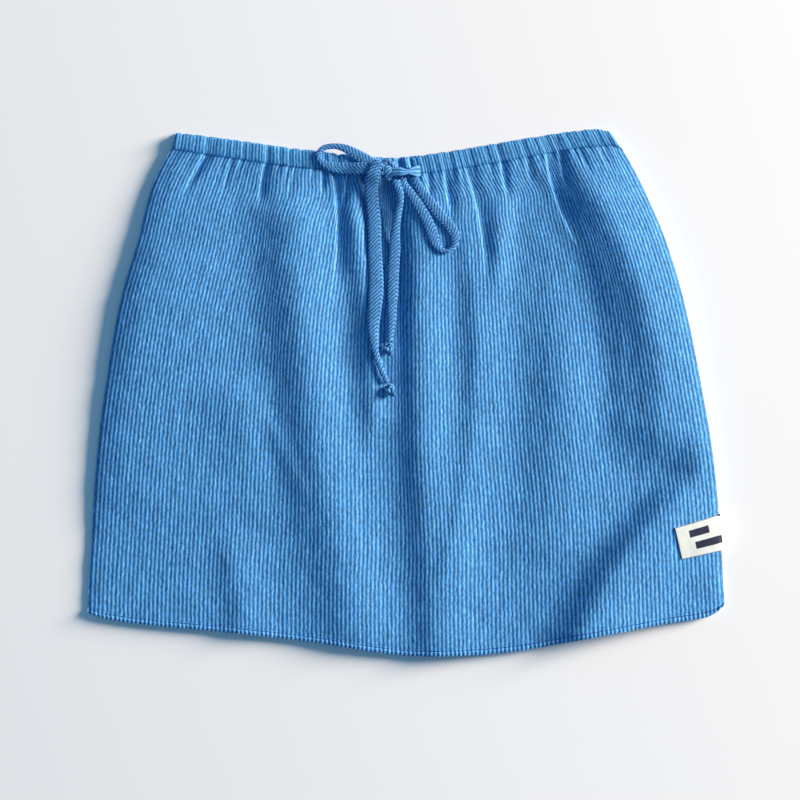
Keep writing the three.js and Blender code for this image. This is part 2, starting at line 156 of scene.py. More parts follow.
# A fold's crest runs through three places, with a height at each. It is wide by left
# and right, and swallow is how much of the gathered-in cloth goes out of sight beside it.
FOLDS = table(
    ["topX", "topY", "midX", "midY", "lowX", "lowY", "topH", "midH", "lowH",
     "left", "right", "swallow"], [
        [-88, 168, -78, 40, -40, -170, 6.4, 7.6, 4.6, 24, 28, 1.6],
        [-44, 158, -29, 50, -25, -50, 3.0, 4.2, 0.0, 10, 7, 1.0],
        [3, 150, 9, 10, 24, -188, 5.0, 7.0, 4.2, 15, 30, 1.6],
        [43, 146, 55, 40, 35, -127, 2.4, 4.4, 2.2, 12, 26, 0.8],
        [76, 168, 71, 115, 68, 55, 1.6, 2.2, 0.0, 8, 9, 0.6],
        [112, 110, 119, 10, 112, -110, 2.5, 6.0, 2.5, 28, 34, 0.8],
        [132, 177, 182, 78, 198, -25, 8.0, 10.2, 7.2, 25, 62, 2.0],
        [226, -62, 173, -118, 136, -182, 5.6, 11.0, 9.6, 20, 46, 0.0],
        [-138, -97, -130, -135, -124, -180, 0.0, 2.2, 2.0, 12, 18, 0.0],
        [-172, 165, -196, 70, -212, -70, 4.2, 6.0, 3.4, 29, 66, 0.0],
        [-109, -13, -92, -47, -77, -82, 0.5, 1.1, 0.5, 8, 7, 0.0],
        [-26, 10, -24, -13, -23, -40, 1.5, 3.0, 1.0, 12, 16, 0.0],
        [-130, 20, -124, -8, -117, -66, 0.5, 3.4, 1.2, 30, 16, 0.0],
        [112, 172, 154, 85, 168, -20, 2.0, 3.8, 3.0, 15, 38, 0.0],
        [-10.6, 167, -6.8, 108, -2, 0, -4.2, -5.2, -0.9, 6, 10, 2.0]])
FOLD_END = 26.0                 # how far beyond its ends a fold dies away
FOLD_AT_SEAM = 0.25             # the share of a fold's height that is left at the casing
SIDE_ROLLS = table(["y", "leftHeight", "leftCrest", "rightHeight", "rightCrest"], [
    [187, 0.3, 8, 0.3, 9], [150, 0.3, 8, 0.3, 9], [70, 0.3, 8, 0.3, 9],
    [-60, 0.5, 8, 0.6, 11], [-166, 0.8, 8, 0.8, 9]])
print(len(FOLDS["topX"]), "large folds")


# %% Reading the tables as smooth curves
def read(rows, along, at, column):
    """One column of a table at places along another, as a smooth curve through its rows."""
    place, value = rows[along], rows[column]
    if place[-1] < place[0]:
        place, value = place[::-1], value[::-1]
    at = np.clip(at, place[0], place[-1])
    last = len(place) - 1
    row = np.arange(last + 1)
    before, after = np.maximum(row - 1, 0), np.minimum(row + 1, last)
    slope = (value[after] - value[before]) / (place[after] - place[before])
    i = np.clip(np.searchsorted(place, at, side="left") - 1, 0, last - 1)
    span, rise = place[i + 1] - place[i], value[i + 1] - value[i]
    s = (at - place[i]) / span
    bend = (1 - s) * (slope[i] * span - rise) + s * (rise - slope[i + 1] * span)
    return value[i] + s * rise + s * (1 - s) * bend


def mix(a, b, share):
    """The value that lies a share of the way from a to b."""
    return a + (b - a) * share


def smooth(share):
    """A share from 0 to 1, eased at both ends."""
    share = np.clip(share, 0, 1)
    return share * share * (3 - 2 * share)


def lay_out(u, t):
    """The plan of a panel: u runs from its left side to its right, t from waist to hem."""
    seam_x = mix(WAIST_SEAM["x"][0], WAIST_SEAM["x"][-1], u)
    hem_x = mix(HEM["x"][0], HEM["x"][-1], u)

    def bulge(side, end):
        side_y = mix(WAIST_SEAM["y"][end], HEM["y"][end], t)
        return read(SIDES, "y", side_y, side) - mix(WAIST_SEAM["x"][end], HEM["x"][end], t)

    x = mix(seam_x, hem_x, t) + (1 - u) * bulge("left", 0) + u * bulge("right", -1)
    y = mix(read(WAIST_SEAM, "x", seam_x, "y"), read(HEM, "x", hem_x, "y"), t)
    return x, y


# %% [markdown]
# ## The cloth's finish
# Seersucker is woven with two warps. One is slack, so it puckers into wavy lengthways
# stripes, and here the stripes are also two blues. The stripe is worked out from the
# weave map, because it has to follow the cloth into every fold and round the bias-cut
# ties. A little noise along each stripe makes the slack warp's crinkle, and a soft
# sheen stands for the lustre of the light threads on a fold.

# %% Node helpers
def new_material(name):
    """An empty material and its node tree."""
    material = bpy.data.materials.new(name)
    material.use_nodes = True
    tree = material.node_tree
    tree.nodes.clear()
    return material, tree


def node(tree, kind, inputs=(), **settings):
    """Adds a node, sets its properties, and fills or links its inputs."""
    made = tree.nodes.new(kind)
    for key, value in settings.items():
        setattr(made, key, value)
    for key, value in dict(inputs).items():
        socket = made.inputs[key]
        if isinstance(value, bpy.types.NodeSocket):
            tree.links.new(value, socket)
        else:
            socket.default_value = value
    return made


def calc(tree, operation, *values, clamp=False):
    """One sum on values or sockets."""
    return node(tree, "ShaderNodeMath", enumerate(values), operation=operation,
                use_clamp=clamp).outputs[0]


def blend_colours(tree, share, first, second):
    """The first colour where share is 0 and the second where it is 1."""
    mixer = node(tree, "ShaderNodeMix", {0: share}, data_type="RGBA")
    mixer.inputs[6].default_value, mixer.inputs[7].default_value = first, second
    return mixer.outputs[2]


# %% Materials from the weave map
def toned(tree, colour, tone_and_painted_shade):
    """A colour made lighter or darker by a factor."""
    return node(tree, "ShaderNodeVectorMath", {0: colour, "Scale": tone_and_painted_shade},
                operation="SCALE").outputs[0]


def weave_map(tree):
    """Two sockets: stripes across the weave, or mm on the tape, and the way along it."""
    weave = node(tree, "ShaderNodeUVMap", uv_map="weave").outputs[0]
    parts = node(tree, "ShaderNodeSeparateXYZ", {0: weave}).outputs
    return parts[0], parts[1]


def noise_over(tree, weave, scales, detail=2.0):
    """Noise from 0 to 1 over the weave map, with one scale across and one along."""
    place = node(tree, "ShaderNodeCombineXYZ", {
        axis: calc(tree, "MULTIPLY", weave[axis], scales[axis]) for axis in (0, 1)}).outputs[0]
    return node(tree, "ShaderNodeTexNoise", {"Vector": place, "Scale": 1.0, "Detail": detail},
                noise_dimensions="2D").outputs[0]


def surface(tree, colour, roughness, specular, more=()):
    """Ends a material in its shader."""
    shader = node(tree, "ShaderNodeBsdfPrincipled", {
        "Base Color": colour, "Roughness": roughness, "Specular IOR Level": specular,
        **dict(more)})
    node(tree, "ShaderNodeOutputMaterial", {0: shader.outputs[0]})


def matt(name, colour):
    """A plain dull material."""
    material, tree = new_material(name)
    surface(tree, colour, 0.9, 0.1)
    return material


# %% Seersucker
LIGHT_BLUE = (0.145, 0.400, 0.720, 1)
DARK_BLUE = (0.003, 0.160, 0.460, 1)
# noise scales, to a stripe across and to a metre along
CRINKLE, PUCKER, SINGLE_THREAD, BATCH = (0.8, 240.0), (1.3, 310.0), (10.0, 900.0), (0.55, 45.0)
LIGHT_SHARE, STRIPE_EDGE = 0.58, 0.62       # how much of a pair is light, and how crisp it ends


def seersucker(name, crinkle=0.25, light=LIGHT_BLUE, dark=DARK_BLUE):
    """Two blues along the weave map's U, one pair to each unit of U."""
    material, tree = new_material(name)
    weave = weave_map(tree)
    # crinkle: each stripe sways by itself, over 5 to 10 mm of its length
    sway = calc(tree, "SUBTRACT", noise_over(tree, weave, CRINKLE), 0.5)
    count = calc(tree, "MULTIPLY_ADD", sway, crinkle * 2, weave[0])
    wave = calc(tree, "COSINE", calc(tree, "MULTIPLY", count, math.tau))
    share = calc(tree, "MULTIPLY_ADD", wave, STRIPE_EDGE, LIGHT_SHARE, clamp=True)
    stripe = blend_colours(tree, share, dark, light)
    # puckers: short swellings along the slack stripes, in the relief and also painted into the
    # colour
    pucker = noise_over(tree, weave, PUCKER)
    # single threads, and a slow change of tone from one group of stripes to the next
    thread = noise_over(tree, weave, SINGLE_THREAD, 1.0)
    batch = calc(tree, "MULTIPLY_ADD", noise_over(tree, weave, BATCH), 0.5, 0.75)
    # the puckers lighten and darken the colour: painted highlight and shade on the swellings,
    # times the threads' and groups' own tone
    tone_and_painted_shade = calc(tree, "MULTIPLY", calc(tree, "ADD", pucker, 0.5), batch)
    tone_and_painted_shade = calc(tree, "MULTIPLY", tone_and_painted_shade, calc(tree, "MULTIPLY_ADD", thread, 0.3, 0.85))
    # the small relief: puckers most, then the threads, then the stripe itself
    height = calc(tree, "MULTIPLY_ADD", pucker, 0.7, calc(tree, "MULTIPLY", thread, 0.25))
    height = calc(tree, "MULTIPLY_ADD", wave, 0.12, height)
    bump = node(tree, "ShaderNodeBump", {"Height": height, "Strength": 0.55,
                                         "Distance": 0.5 * MM}).outputs[0]
    surface(tree, toned(tree, stripe, tone_and_painted_shade), 0.72, 0.25,
            {"Normal": bump, "Sheen Weight": 0.12, "Sheen Roughness": 0.4})
    return material


skirt_cloth = seersucker("skirt_cloth")
casing_cloth = seersucker("casing_cloth", crinkle=0.16, light=(0.115, 0.350, 0.650, 1),
                          dark=(0.008, 0.180, 0.480, 1))
tie_cloth = seersucker("tie_cloth", crinkle=0.06, light=(0.115, 0.340, 0.640, 1),
                       dark=(0.002, 0.100, 0.340, 1))
print("materials:", [m.name for m in bpy.data.materials])


# %% [markdown]
# ## How high the front lies
# The front panel arches over the back one. It climbs to the casing, it stands fuller
# away from the side seams, and the large folds and side rolls come on top of that.
# The creases are the sharp ones, where the gathered cloth tucks under itself: steep on
# one side and soft on the other. They are placed one by one, since an even row of
# pleats is the sign of a machine-pleated skirt, not of a gathered one.

# %% Creases that start at the waist seam, in mm
CREASES = table(
    ["topX", "topY", "midX", "midY", "lowX", "lowY", "depth", "left", "right", "swallow"], [
        [-148.6, 184, -158.8, 167.6, -170.0, 148, 2.2, 2.6, 3.4, 1.2],
        [-131.0, 180, -136.0, 164.0, -140.0, 150, 1.2, 1.6, 2.8, 0.5],
        [-106.6, 176, -109.4, 161.5, -111.8, 140, 2.0, 1.0, 5.0, 1.3],
        [-84.0, 173, -87.0, 160.0, -91.0, 148, 0.9, 1.4, 3.0, 0.4],
        [-62.3, 171, -63.1, 160.0, -63.8, 150, 1.6, 1.2, 2.6, 0.6],
        [-56.2, 171, -52.0, 137.2, -56.2, 76, 3.2, 0.9, 7.5, 2.6],
        [-42.6, 169, -45.6, 153.9, -48.6, 140, 2.0, 0.9, 3.6, 0.8],
        [-33.4, 168, -30.4, 132.6, -29.6, 100, 2.0, 1.4, 4.5, 1.0],
        [-16.2, 169, -16.6, 150.0, -13.0, 112, 5.4, 2.8, 7.0, 1.8],
        [16.9, 168, 17.5, 158.5, 18.2, 146, 1.6, 1.4, 3.4, 0.6],
        [29.6, 170, 31.2, 153.9, 35.0, 132, 2.2, 0.9, 5.5, 1.2],
        [44.8, 173, 57.0, 127.3, 60.8, 78, 2.2, 0.9, 6.5, 2.0],
        [72.2, 177, 74.5, 161.5, 78.3, 144, 1.9, 0.9, 4.4, 0.9],
        [91.0, 180, 94.0, 166.0, 97.0, 154, 1.0, 1.4, 2.6, 0.4],
        [106.5, 186, 114.0, 149.3, 133.0, 108, 3.4, 1.0, 15.0, 2.8],
        [116.3, 185, 119.3, 169.1, 124.2, 150, 1.8, 1.4, 4.0, 0.8],
        [130.0, 188, 134.5, 178.2, 140.0, 164, 1.2, 1.2, 3.0, 0.5],
        [146.0, 188, 150.5, 178.0, 156.0, 168, 0.8, 1.2, 2.4, 0.3]])
CREASE_TAIL, CREASE_END = 0.5, 1.05         # it dies away over half its length, up to this share
print(len(CREASES["topX"]), "creases")


# %% Shapes of folds, creases, rolls and gathers
CLOTH = 1.2                     # a panel's thickness, with the air in its puckers
TURNED_HEM, HEM_STARTS = 0.6, 0.9886        # the hem's extra thickness, and the t it starts at
LENGTH = 368                    # mm from the casing to the hem
WAIST_WIDTH, FLARE = 341, 0.9   # mm across the waist seam, and how fast the width grows below it
GATHERS = 36                    # in a width
GATHER_WIDTH, GATHER_SHAPE = 1.8, 1.6       # half a gather's width, and how square its valley is
rng = np.random.default_rng(7)
gather_at = (np.arange(GATHERS) + 0.5 + rng.uniform(-0.3, 0.3, GATHERS)) / GATHERS
gather_depth = rng.uniform(0.5, 1.5, GATHERS)
gather_reach = rng.uniform(5, 20, GATHERS)
gather_depth[17:20] = 2.0       # the knot draws the cloth in at the centre


def crest_x(rows, k, y):
    """The parabola in y through the top, middle and low end of a fold or crease."""
    (xa, ya), (xb, yb), (xc, yc) = (
        (rows[end + "X"][k], rows[end + "Y"][k]) for end in ("top", "mid", "low"))
    return (xa * (y - yb) * (y - yc) / ((ya - yb) * (ya - yc))
            + xb * (y - ya) * (y - yc) / ((yb - ya) * (yb - yc))
            + xc * (y - ya) * (y - yb) / ((yc - ya) * (yc - yb)))


def across_fold(rows, k, x, y):
    """How far a place is beside a crest, as a share of the fold's width on that side."""
    kept = np.clip(y, rows["lowY"][k], rows["topY"][k])
    away = x - crest_x(rows, k, kept)
    return away / np.where(away < 0, rows["left"][k], rows["right"][k])


def fold_height(k, x, y):
    """How high one large fold stands."""
    low, middle, top = (FOLDS[end][k] for end in ("lowY", "midY", "topY"))
    kept = np.clip(y, low, top)
    upper = kept > middle
    end_y, end_height = np.where(upper, top, low), np.where(
        upper, FOLDS["topH"][k], FOLDS["lowH"][k])
    crest = mix(end_height, FOLDS["midH"][k], smooth((kept - end_y) / (middle - end_y)))
    beyond = (y - kept) / FOLD_END
    return crest * np.exp(-beyond**2 - across_fold(FOLDS, k, x, y)**2)


def crease_depth(x, y):
    """How deep the creases are together. Each dies away just beyond its low end."""
    depth = 0
    for k, (top, low) in enumerate(zip(CREASES["topY"], CREASES["lowY"])):
        fade = smooth((CREASE_END - (top - y) / (top - low)) / CREASE_TAIL)
        depth = depth + CREASES["depth"][k] * fade * np.exp(-across_fold(CREASES, k, x, y)**2)
    return depth


def roll_height(x, y, side, height, crest):
    """How high the soft roll along a side edge stands."""
    away, top = np.abs(x - read(SIDES, "y", y, side)), read(SIDE_ROLLS, "y", y, crest)
    return read(SIDE_ROLLS, "y", y, height) * away / top * np.exp(1 - away / top)


def gather_valleys(u, from_seam):
    """The small gathers under the casing, as a depth in mm."""
    width = WAIST_WIDTH + FLARE * from_seam
    return sum(depth * np.exp(-np.abs((u - at) * width / GATHER_WIDTH)**GATHER_SHAPE
                              - np.maximum(from_seam, 0) / reach)
               for at, depth, reach in zip(gather_at, gather_depth, gather_reach))


# %% The height of the back's top and of the front
TAPE_REACH_U, TAPE_REACH_T, TAPE_LIFT = (0.855, 0.925), ((0.68, 0.75), (0.96, 0.89)), 1.3
FULLNESS, FULLNESS_RISE = 2.2, 34.0         # it stands this full, reached this far from a side
WAIST_RISE, WAIST_RISE_REACH = 2.6, 18.0    # its climb to the casing, and over how far
FOLDS_FREE = 42.0               # how far below the casing the folds stand at full height
CREASES_FREE = 14.0             # how far from a side the gathers and creases are at their full
CREASES_START, CREASES_FADE_IN = 14, 16     # how far above the seam, and over how far they deepen
GATHER_RISE, GATHER_RISE_REACH = 1.3, 30.0  # how far the gathers puff up, and over how far
LEAST_GAP, SOFT_FLOOR = 0.25, 0.3           # between the panels, and how softly it is kept


def hem_rise(t):
    """The hem's extra thickness."""
    return TURNED_HEM * smooth((t - HEM_STARTS + 0.001) / 0.002)


def tape_lift(u, t):
    """The side tape's back leg lies under the corner of the back panel."""
    rise = [np.clip((u - TAPE_REACH_U[0]) / (TAPE_REACH_U[1] - TAPE_REACH_U[0]), 0, 1)]
    rise += [np.clip((t - a) / (b - a), 0, 1) for a, b in TAPE_REACH_T]
    return TAPE_LIFT * smooth(np.minimum.reduce(rise))


def back_top(u, t):
    """The inside of the back panel, on which the front lies."""
    return tape_lift(u, t) + CLOTH + hem_rise(t)


def front_rise(u, x, y):
    """How far the front's underside stands off the back panel."""
    left, right = read(SIDES, "y", y, "left"), read(SIDES, "y", y, "right")
    from_side = np.maximum(np.minimum(x - left, right - x), 0)
    from_seam = read(WAIST_SEAM, "x", x, "y") - y
    full = FULLNESS * (1 - np.exp(-from_side / FULLNESS_RISE))
    climb = WAIST_RISE * np.exp(-(from_seam / WAIST_RISE_REACH)**2)
    settled = smooth(from_seam / FOLDS_FREE)
    folds = (roll_height(x, y, "left", "leftHeight", "leftCrest")
             + roll_height(x, y, "right", "rightHeight", "rightCrest"))
    folds = folds + sum(fold_height(k, x, y) for k in range(len(FOLDS["topX"])))
    folds = mix(FOLD_AT_SEAM, 1, settled) * folds
    small = GATHER_RISE - gather_valleys(u, from_seam)
    rise = climb + settled * full + folds + smooth(from_side / CREASES_FREE) * (
        small * np.exp(-np.maximum(from_seam, 0) / GATHER_RISE_REACH)
        - crease_depth(x, y) * smooth((from_seam + CREASES_START) / CREASES_FADE_IN))
    return LEAST_GAP + 0.5 * (rise + np.sqrt(rise**2 + SOFT_FLOOR))


# %% [markdown]
# ## The stripes
# The hem shows every stripe of the width, one each 3.15 mm. Higher up the skirt is
# narrower but the cloth isn't, so the surplus stripes go out of sight in the gathers
# and creases. That is why each row of the mesh counts the stripes from the left edge,
# lets every crease swallow its share, and sets its points an equal part of a stripe
# apart. The stripes then run into the creases as real ones do.

# %% Counting stripes along a row
STRIPES, PITCH = 152, 3.15      # to a panel, and mm from one to the next
PARTS = 4                       # mesh points to each stripe
COUNTED = 2400                  # places at which a row's stripes are counted
GATHER_SWALLOW = 0.42           # stripes that a gather of 1 mm takes up
TUCKED = 0.55                   # the most of the swallowed cloth that goes out of sight
FOLD_FOOT, FOLD_SPREAD = 0.85, 4.0          # where a fold swallows cloth, and over how many mm
FOLD_DRY, FOLD_FILLS = 20, 120              # mm at its low end with none, then with ever more
CREASE_SIDE, CREASE_SPREAD = 0.3, (0.7, 0.45)       # mm beside its line; more stripes, more spread
CREASE_FILLS = 0.8              # the share of a crease, from its low end, over which it fills up
GATHER_FILLS, GATHER_SPREAD = 1.4, 1.4      # a gather's fading, in its reaches, and its spread


def sunk(away, spread):
    """0 before a tuck and 1 behind it."""
    return 0.5 + 0.5 * np.tanh(away / spread)


def stripe_places(t):
    """For each row t, the u of every quarter stripe from the left edge to the right."""
    u = np.linspace(0, 1, COUNTED)
    whole = np.arange(STRIPES * PARTS + 1) / PARTS
    places = []
    for row in t:
        x, y = lay_out(u, row)
        from_seam = read(WAIST_SEAM, "x", x, "y") - y
        wide = x[-1] - x[0]
        surplus = max(STRIPES - wide / PITCH, 0)
        taken = np.zeros_like(u)
        # a fold takes its share at the foot of its left side, a crease just beside its line
        for k, share in enumerate(FOLDS["swallow"]):
            low, top = FOLDS["lowY"][k], FOLDS["topY"][k]
            foot = crest_x(FOLDS, k, np.clip(y, low, top)) - FOLD_FOOT * FOLDS["left"][k]
            grown = smooth((y - low - FOLD_DRY) / FOLD_FILLS)
            taken += share * grown * sunk(x - foot, FOLD_SPREAD)
        for k, share in enumerate(CREASES["swallow"]):
            low, top = CREASES["lowY"][k], CREASES["topY"][k]
            beside = x - crest_x(CREASES, k, np.minimum(y, top))
            spread = CREASE_SPREAD[0] + CREASE_SPREAD[1] * share
            taken += (share * smooth((y - low) / (CREASE_FILLS * (top - low)))
                      * sunk(beside - CREASE_SIDE, spread))
        for at, depth, reach in zip(gather_at, gather_depth, gather_reach):
            fading = np.exp(-np.maximum(from_seam, 0) / (GATHER_FILLS * reach))
            taken += GATHER_SWALLOW * depth * fading * sunk((u - at) * wide, GATHER_SPREAD)
        taken -= taken[0]
        taken *= min(surplus / max(taken[-1], 1e-6), TUCKED)
        count = (x - x[0]) + PITCH * taken
        places.append(np.interp(whole * count[-1] / STRIPES, count, u))
    return np.array(places)


# %% Rows of the front
GATHERS_END, HEM_SOON = 0.05, 0.976         # t between which the rows may lie wider apart
front_t = np.concatenate([np.linspace(0, GATHERS_END, 13)[:-1],
                          np.linspace(GATHERS_END, HEM_SOON, 125)[:-1],
                          np.linspace(HEM_SOON, 1, 9)])
front_u = stripe_places(front_t)
front_rows, front_columns = front_u.shape
stripe = np.broadcast_to(np.arange(front_columns) / PARTS, front_u.shape)
print(front_rows, "rows of", front_columns, "points")


# %% [markdown]
# ## Front panel
# Seersucker stands up in ribs where the slack warp runs, and each rib sways a little.
# The sway is in the mesh, so ribs and colours keep together. The hem is turned up
# twice and sewn a few millimetres above its edge, which pulls every rib into a small
# scallop below the stitching.

# %% Ribs, sway and hem of a panel
RIB, UNEVEN_RIBS = 0.15, 0.35   # how far a rib stands up, and how much that varies
SWAY, SWAY_LENGTH, SWAY_SHIFT = 0.10, 10.5, 0.23    # its wander, to a length, from rib to rib
HEM_BAND, SCALLOPED = 4.0, 0.16             # the hem's depth, and how far its ribs puff up
SEWN_DEPTH, SEWN_WIDTH = 0.55, 0.8          # the groove that the hem's stitches pull
BROAD, SMALLER = 0.14, 0.07     # uneven relief, over 16 to 42 mm and over 7 to 14 mm
LEFT_CORNER, RIGHT_CORNER, CORNER_REACH = 1.6, 4.6, 14.0    # the hem's rounded corners
SIDE_ROUND, SIDE_FALL = 2.4, 0.7            # how far in a side seam is rounded, and how far down
HEM_ROUND, HEM_FALL = 1.4, 0.9              # the same at the hem's edge
HEM_WIDTH = HEM["x"][-1] - HEM["x"][0]
SEAM_WIDTH = 5.0                # how far in from a side the seam holds the two panels together


def wandering(a, b, waves, seed, low, high):
    """A smooth uneven relief: a sum of plane waves with wavelengths from low to high."""
    pick = np.random.default_rng(seed)
    lengths, turns, phases = (pick.uniform(*limits, waves) for limits in (
        (low, high), (0, math.pi), (0, math.tau)))
    total = 0
    for length, turn, phase in zip(lengths, turns, phases):
        along = a * math.cos(turn) + b * math.sin(turn)
        total = total + np.sin(math.tau / length * along + phase)
    return total / math.sqrt(waves)


def near_edge(distance, reach):
    """How far a rounded edge falls, 0 inside and 1 at the edge itself."""
    share = np.clip(1 - distance / reach, 0, 1)
    return 1 - np.sqrt(np.maximum(1 - share**2, 0))


def swayed(u, t, stripe, seed):
    """The plan of a striped panel, with its stripes' sway and its rounded hem corners."""
    x, y = lay_out(u, t)
    free = smooth(np.minimum(u, 1 - u) * 40)
    sway = SWAY * (np.sin(math.tau * (y / SWAY_LENGTH + SWAY_SHIFT * stripe)
                          + 2 * np.sin(0.9 * stripe))
                   + wandering(x * 0.5, y, 8, seed, 7, 12))
    from_hem = np.maximum((1 - t) * LENGTH, 0)
    for side, corner, inward in ((u, LEFT_CORNER, 1), (1 - u, RIGHT_CORNER, -1)):
        cut = corner * near_edge(from_hem, corner)
        x = x + inward * cut * np.clip(1 - side * HEM_WIDTH / CORNER_REACH, 0, 1)
    return x + free * sway, y


def front_top(u, t, x, y, stripe, ribs=1.0):
    """The outer face of the front panel. The hem's stitches pull a groove into it."""
    seam_distance = (x - read(SIDES, "y", y, "left"), read(SIDES, "y", y, "right") - x)
    at_side = np.maximum(*(near_edge(np.maximum(d, 0), SIDE_ROUND) for d in seam_distance))
    from_hem = np.maximum((1 - t) * LENGTH, 0)
    wave = np.cos(math.tau * stripe)
    rib = RIB * wave * (1 + UNEVEN_RIBS * wandering(PITCH * stripe, y, 8, 3, 6, 13))
    scallop = SCALLOPED * smooth((HEM_BAND + 0.6 - from_hem) / 1.2) * wave
    sewn = SEWN_DEPTH * np.exp(-((from_hem - HEM_BAND) / SEWN_WIDTH)**2)
    uneven = BROAD * wandering(x, y, 9, 11, 16, 42) + SMALLER * wandering(x, y, 9, 12, 7, 14)
    top = (back_top(u, t) + front_rise(u, x, y) + CLOTH + hem_rise(t)
           + uneven * smooth(from_hem / 12))
    return (top + ribs * (rib + scallop) - sewn - SIDE_FALL * at_side
            - HEM_FALL * near_edge(from_hem, HEM_ROUND))


# %% Front panel
COARSE = 4                      # the unseen lining side has every fourth point
SHELL = 1.0                     # how far below the outer face the lining side lies


def panel_shell(u, t, stripe, seed, top_of, bottom_of):
    """A closed shell: a fine face, a coarser far face and a joined rim."""
    rows, columns = u.shape
    grid_t = np.broadcast_to(t[:, None], u.shape)
    x, y = swayed(u, grid_t, stripe, seed)
    squeeze = np.clip(np.gradient(x, axis=1) * PARTS / PITCH, 0.1, 1)**1.5
    fine = np.stack([x, y, top_of(u, grid_t, x, y, stripe, squeeze)], axis=-1).reshape(-1, 3)
    row, column = np.arange(0, rows, COARSE), np.arange(0, columns, COARSE)
    picked = np.ix_(row, column)
    far = bottom_of(u[picked], grid_t[picked], x[picked], y[picked], stripe[picked])
    coarse = np.stack([x[picked], y[picked], far], axis=-1).reshape(-1, 3)
    start = rows * columns
    faces = grid_faces(rows, columns) + grid_faces(len(row), len(column), start, flip=True)

    fine_at = np.arange(start).reshape(rows, columns)
    coarse_at = start + np.arange(len(coarse)).reshape(len(row), len(column))
    for edge in (np.s_[0, :], np.s_[:, -1], np.s_[-1, ::-1], np.s_[::-1, 0]):
        faces += joined_rim(fine_at[edge].tolist(), coarse_at[edge].tolist())
    weave = np.stack([stripe, -y * MM], axis=-1)
    weave = np.concatenate([weave.reshape(-1, 2), weave[picked].reshape(-1, 2)])
    return np.concatenate([fine, coarse]), faces, weave


def front_bottom(u, t, x, y, stripe):
    """The lining side. At the side seams it comes down to meet the back panel."""
    lining = front_top(u, t, x, y, stripe, ribs=0.0) - SHELL - hem_rise(t)
    from_side = np.minimum(u, 1 - u) * HEM_WIDTH
    return mix(back_top(u, t) + LEAST_GAP, lining, smooth(from_side / SEAM_WIDTH))


points, faces, weave = panel_shell(front_u, front_t, stripe, 5, front_top, front_bottom)
front = make_piece("front_cloth", points, faces, weave, "skirt_cloth", ["front_panel"],
                   skirt_cloth)
print("front cloth, highest point:", round(points[:, 2].max(), 2), "mm")


# %% [markdown]
# ## Back panel
# The back is cut like the front and lies under it, face down on the table. Its outer
# face is pressed flat by the weight above, so its gathers are low and only the ribs
# touch the table. Its creases are the front's seen in a mirror, which keeps the two
# sides of the skirt alike without being the same.

# %% Back panel
BACK_GATHER, BACK_CREASE = 0.45, 0.22       # the share of their depth left under the weight
BACK_RIB, BACK_SEWN = 0.16, 0.2             # its ribs, and the groove of its hem's stitches
BACK_ROUND, BACK_FALL = 1.2, 0.45           # how its hem's edge is rounded
BACK_THINNEST = 0.35            # the least cloth left at the bottom of a valley


def back_face(u, t, x, y, stripe, ribs=1.0):
    """The outer face of the back, which points down at the table."""
    from_seam = read(WAIST_SEAM, "x", x, "y") - y
    valley = (BACK_GATHER * gather_valleys(1 - u, from_seam)
              + BACK_CREASE * crease_depth(-x, y))
    rib = ribs * BACK_RIB * (1 - np.cos(math.tau * stripe))
    from_hem = (1 - t) * LENGTH
    sewn = BACK_SEWN * np.exp(-((from_hem - HEM_BAND) / SEWN_WIDTH)**2)
    edge = BACK_FALL * near_edge(np.maximum(from_hem, 0), BACK_ROUND)
    face = tape_lift(u, t) + rib + valley + sewn + edge
    return np.minimum(face, back_top(u, t) - BACK_THINNEST)


def back_inside(u, t, *_):
    """The inner face of the back, with the parameters that a panel's faces are given."""
    return back_top(u, t)


back_t = front_t[::3]
back_u = 1 - front_u[::3, ::-1]
back_stripe = np.broadcast_to(np.arange(front_columns) / PARTS, back_u.shape)
points, faces, weave = panel_shell(back_u, back_t, back_stripe, 6, back_face, back_inside)
faces = [face[::-1] for face in faces]
back = make_piece("back_cloth", points, faces, weave, "skirt_cloth", ["back_panel"], skirt_cloth)


# %% [markdown]
# ## Casings
# The top edge is folded over the elastic and sewn down. Each casing is therefore a flat
# closed tube, made here as a ring for every quarter stripe. It takes its stripes from
# the same row count as the panel's top edge, so every stripe runs on across the seam.
# The elastic pulls it into small scallops along its top edge.

# %% The shape of a casing
CASING = 3.0                    # its height, elastic and all
CASING_RING, SQUARENESS = 20, 0.55          # points round it, and how flat its section is
SCALLOP, SEWN_IN = 1.3, 0.25    # how far a gather juts, and the seam laps the panel
CASING_RIB, BACK_CASING_RIB, TOP_RIB = 0.11, 0.12, 0.22     # above, below and at its top edge
CASING_PUFF = 0.6               # how much thicker it is between two gathers
CASING_ROUND = 2.6              # how far in its ends are rounded in height
RIGHT_CUT, LEFT_CUT = (4.4, 7.0), (2.0, 4.0)        # its upper corners: how deep, how far in
CROWN_BELOW, CROWN_ABOVE = 0.12, 0.35       # how much lower it is at its seam and its top edge
PINCHES = ((-6.3, 2.1), (3.0, 1.7))         # where the knot presses it, and how wide
PINCH = 2.1                     # how deep


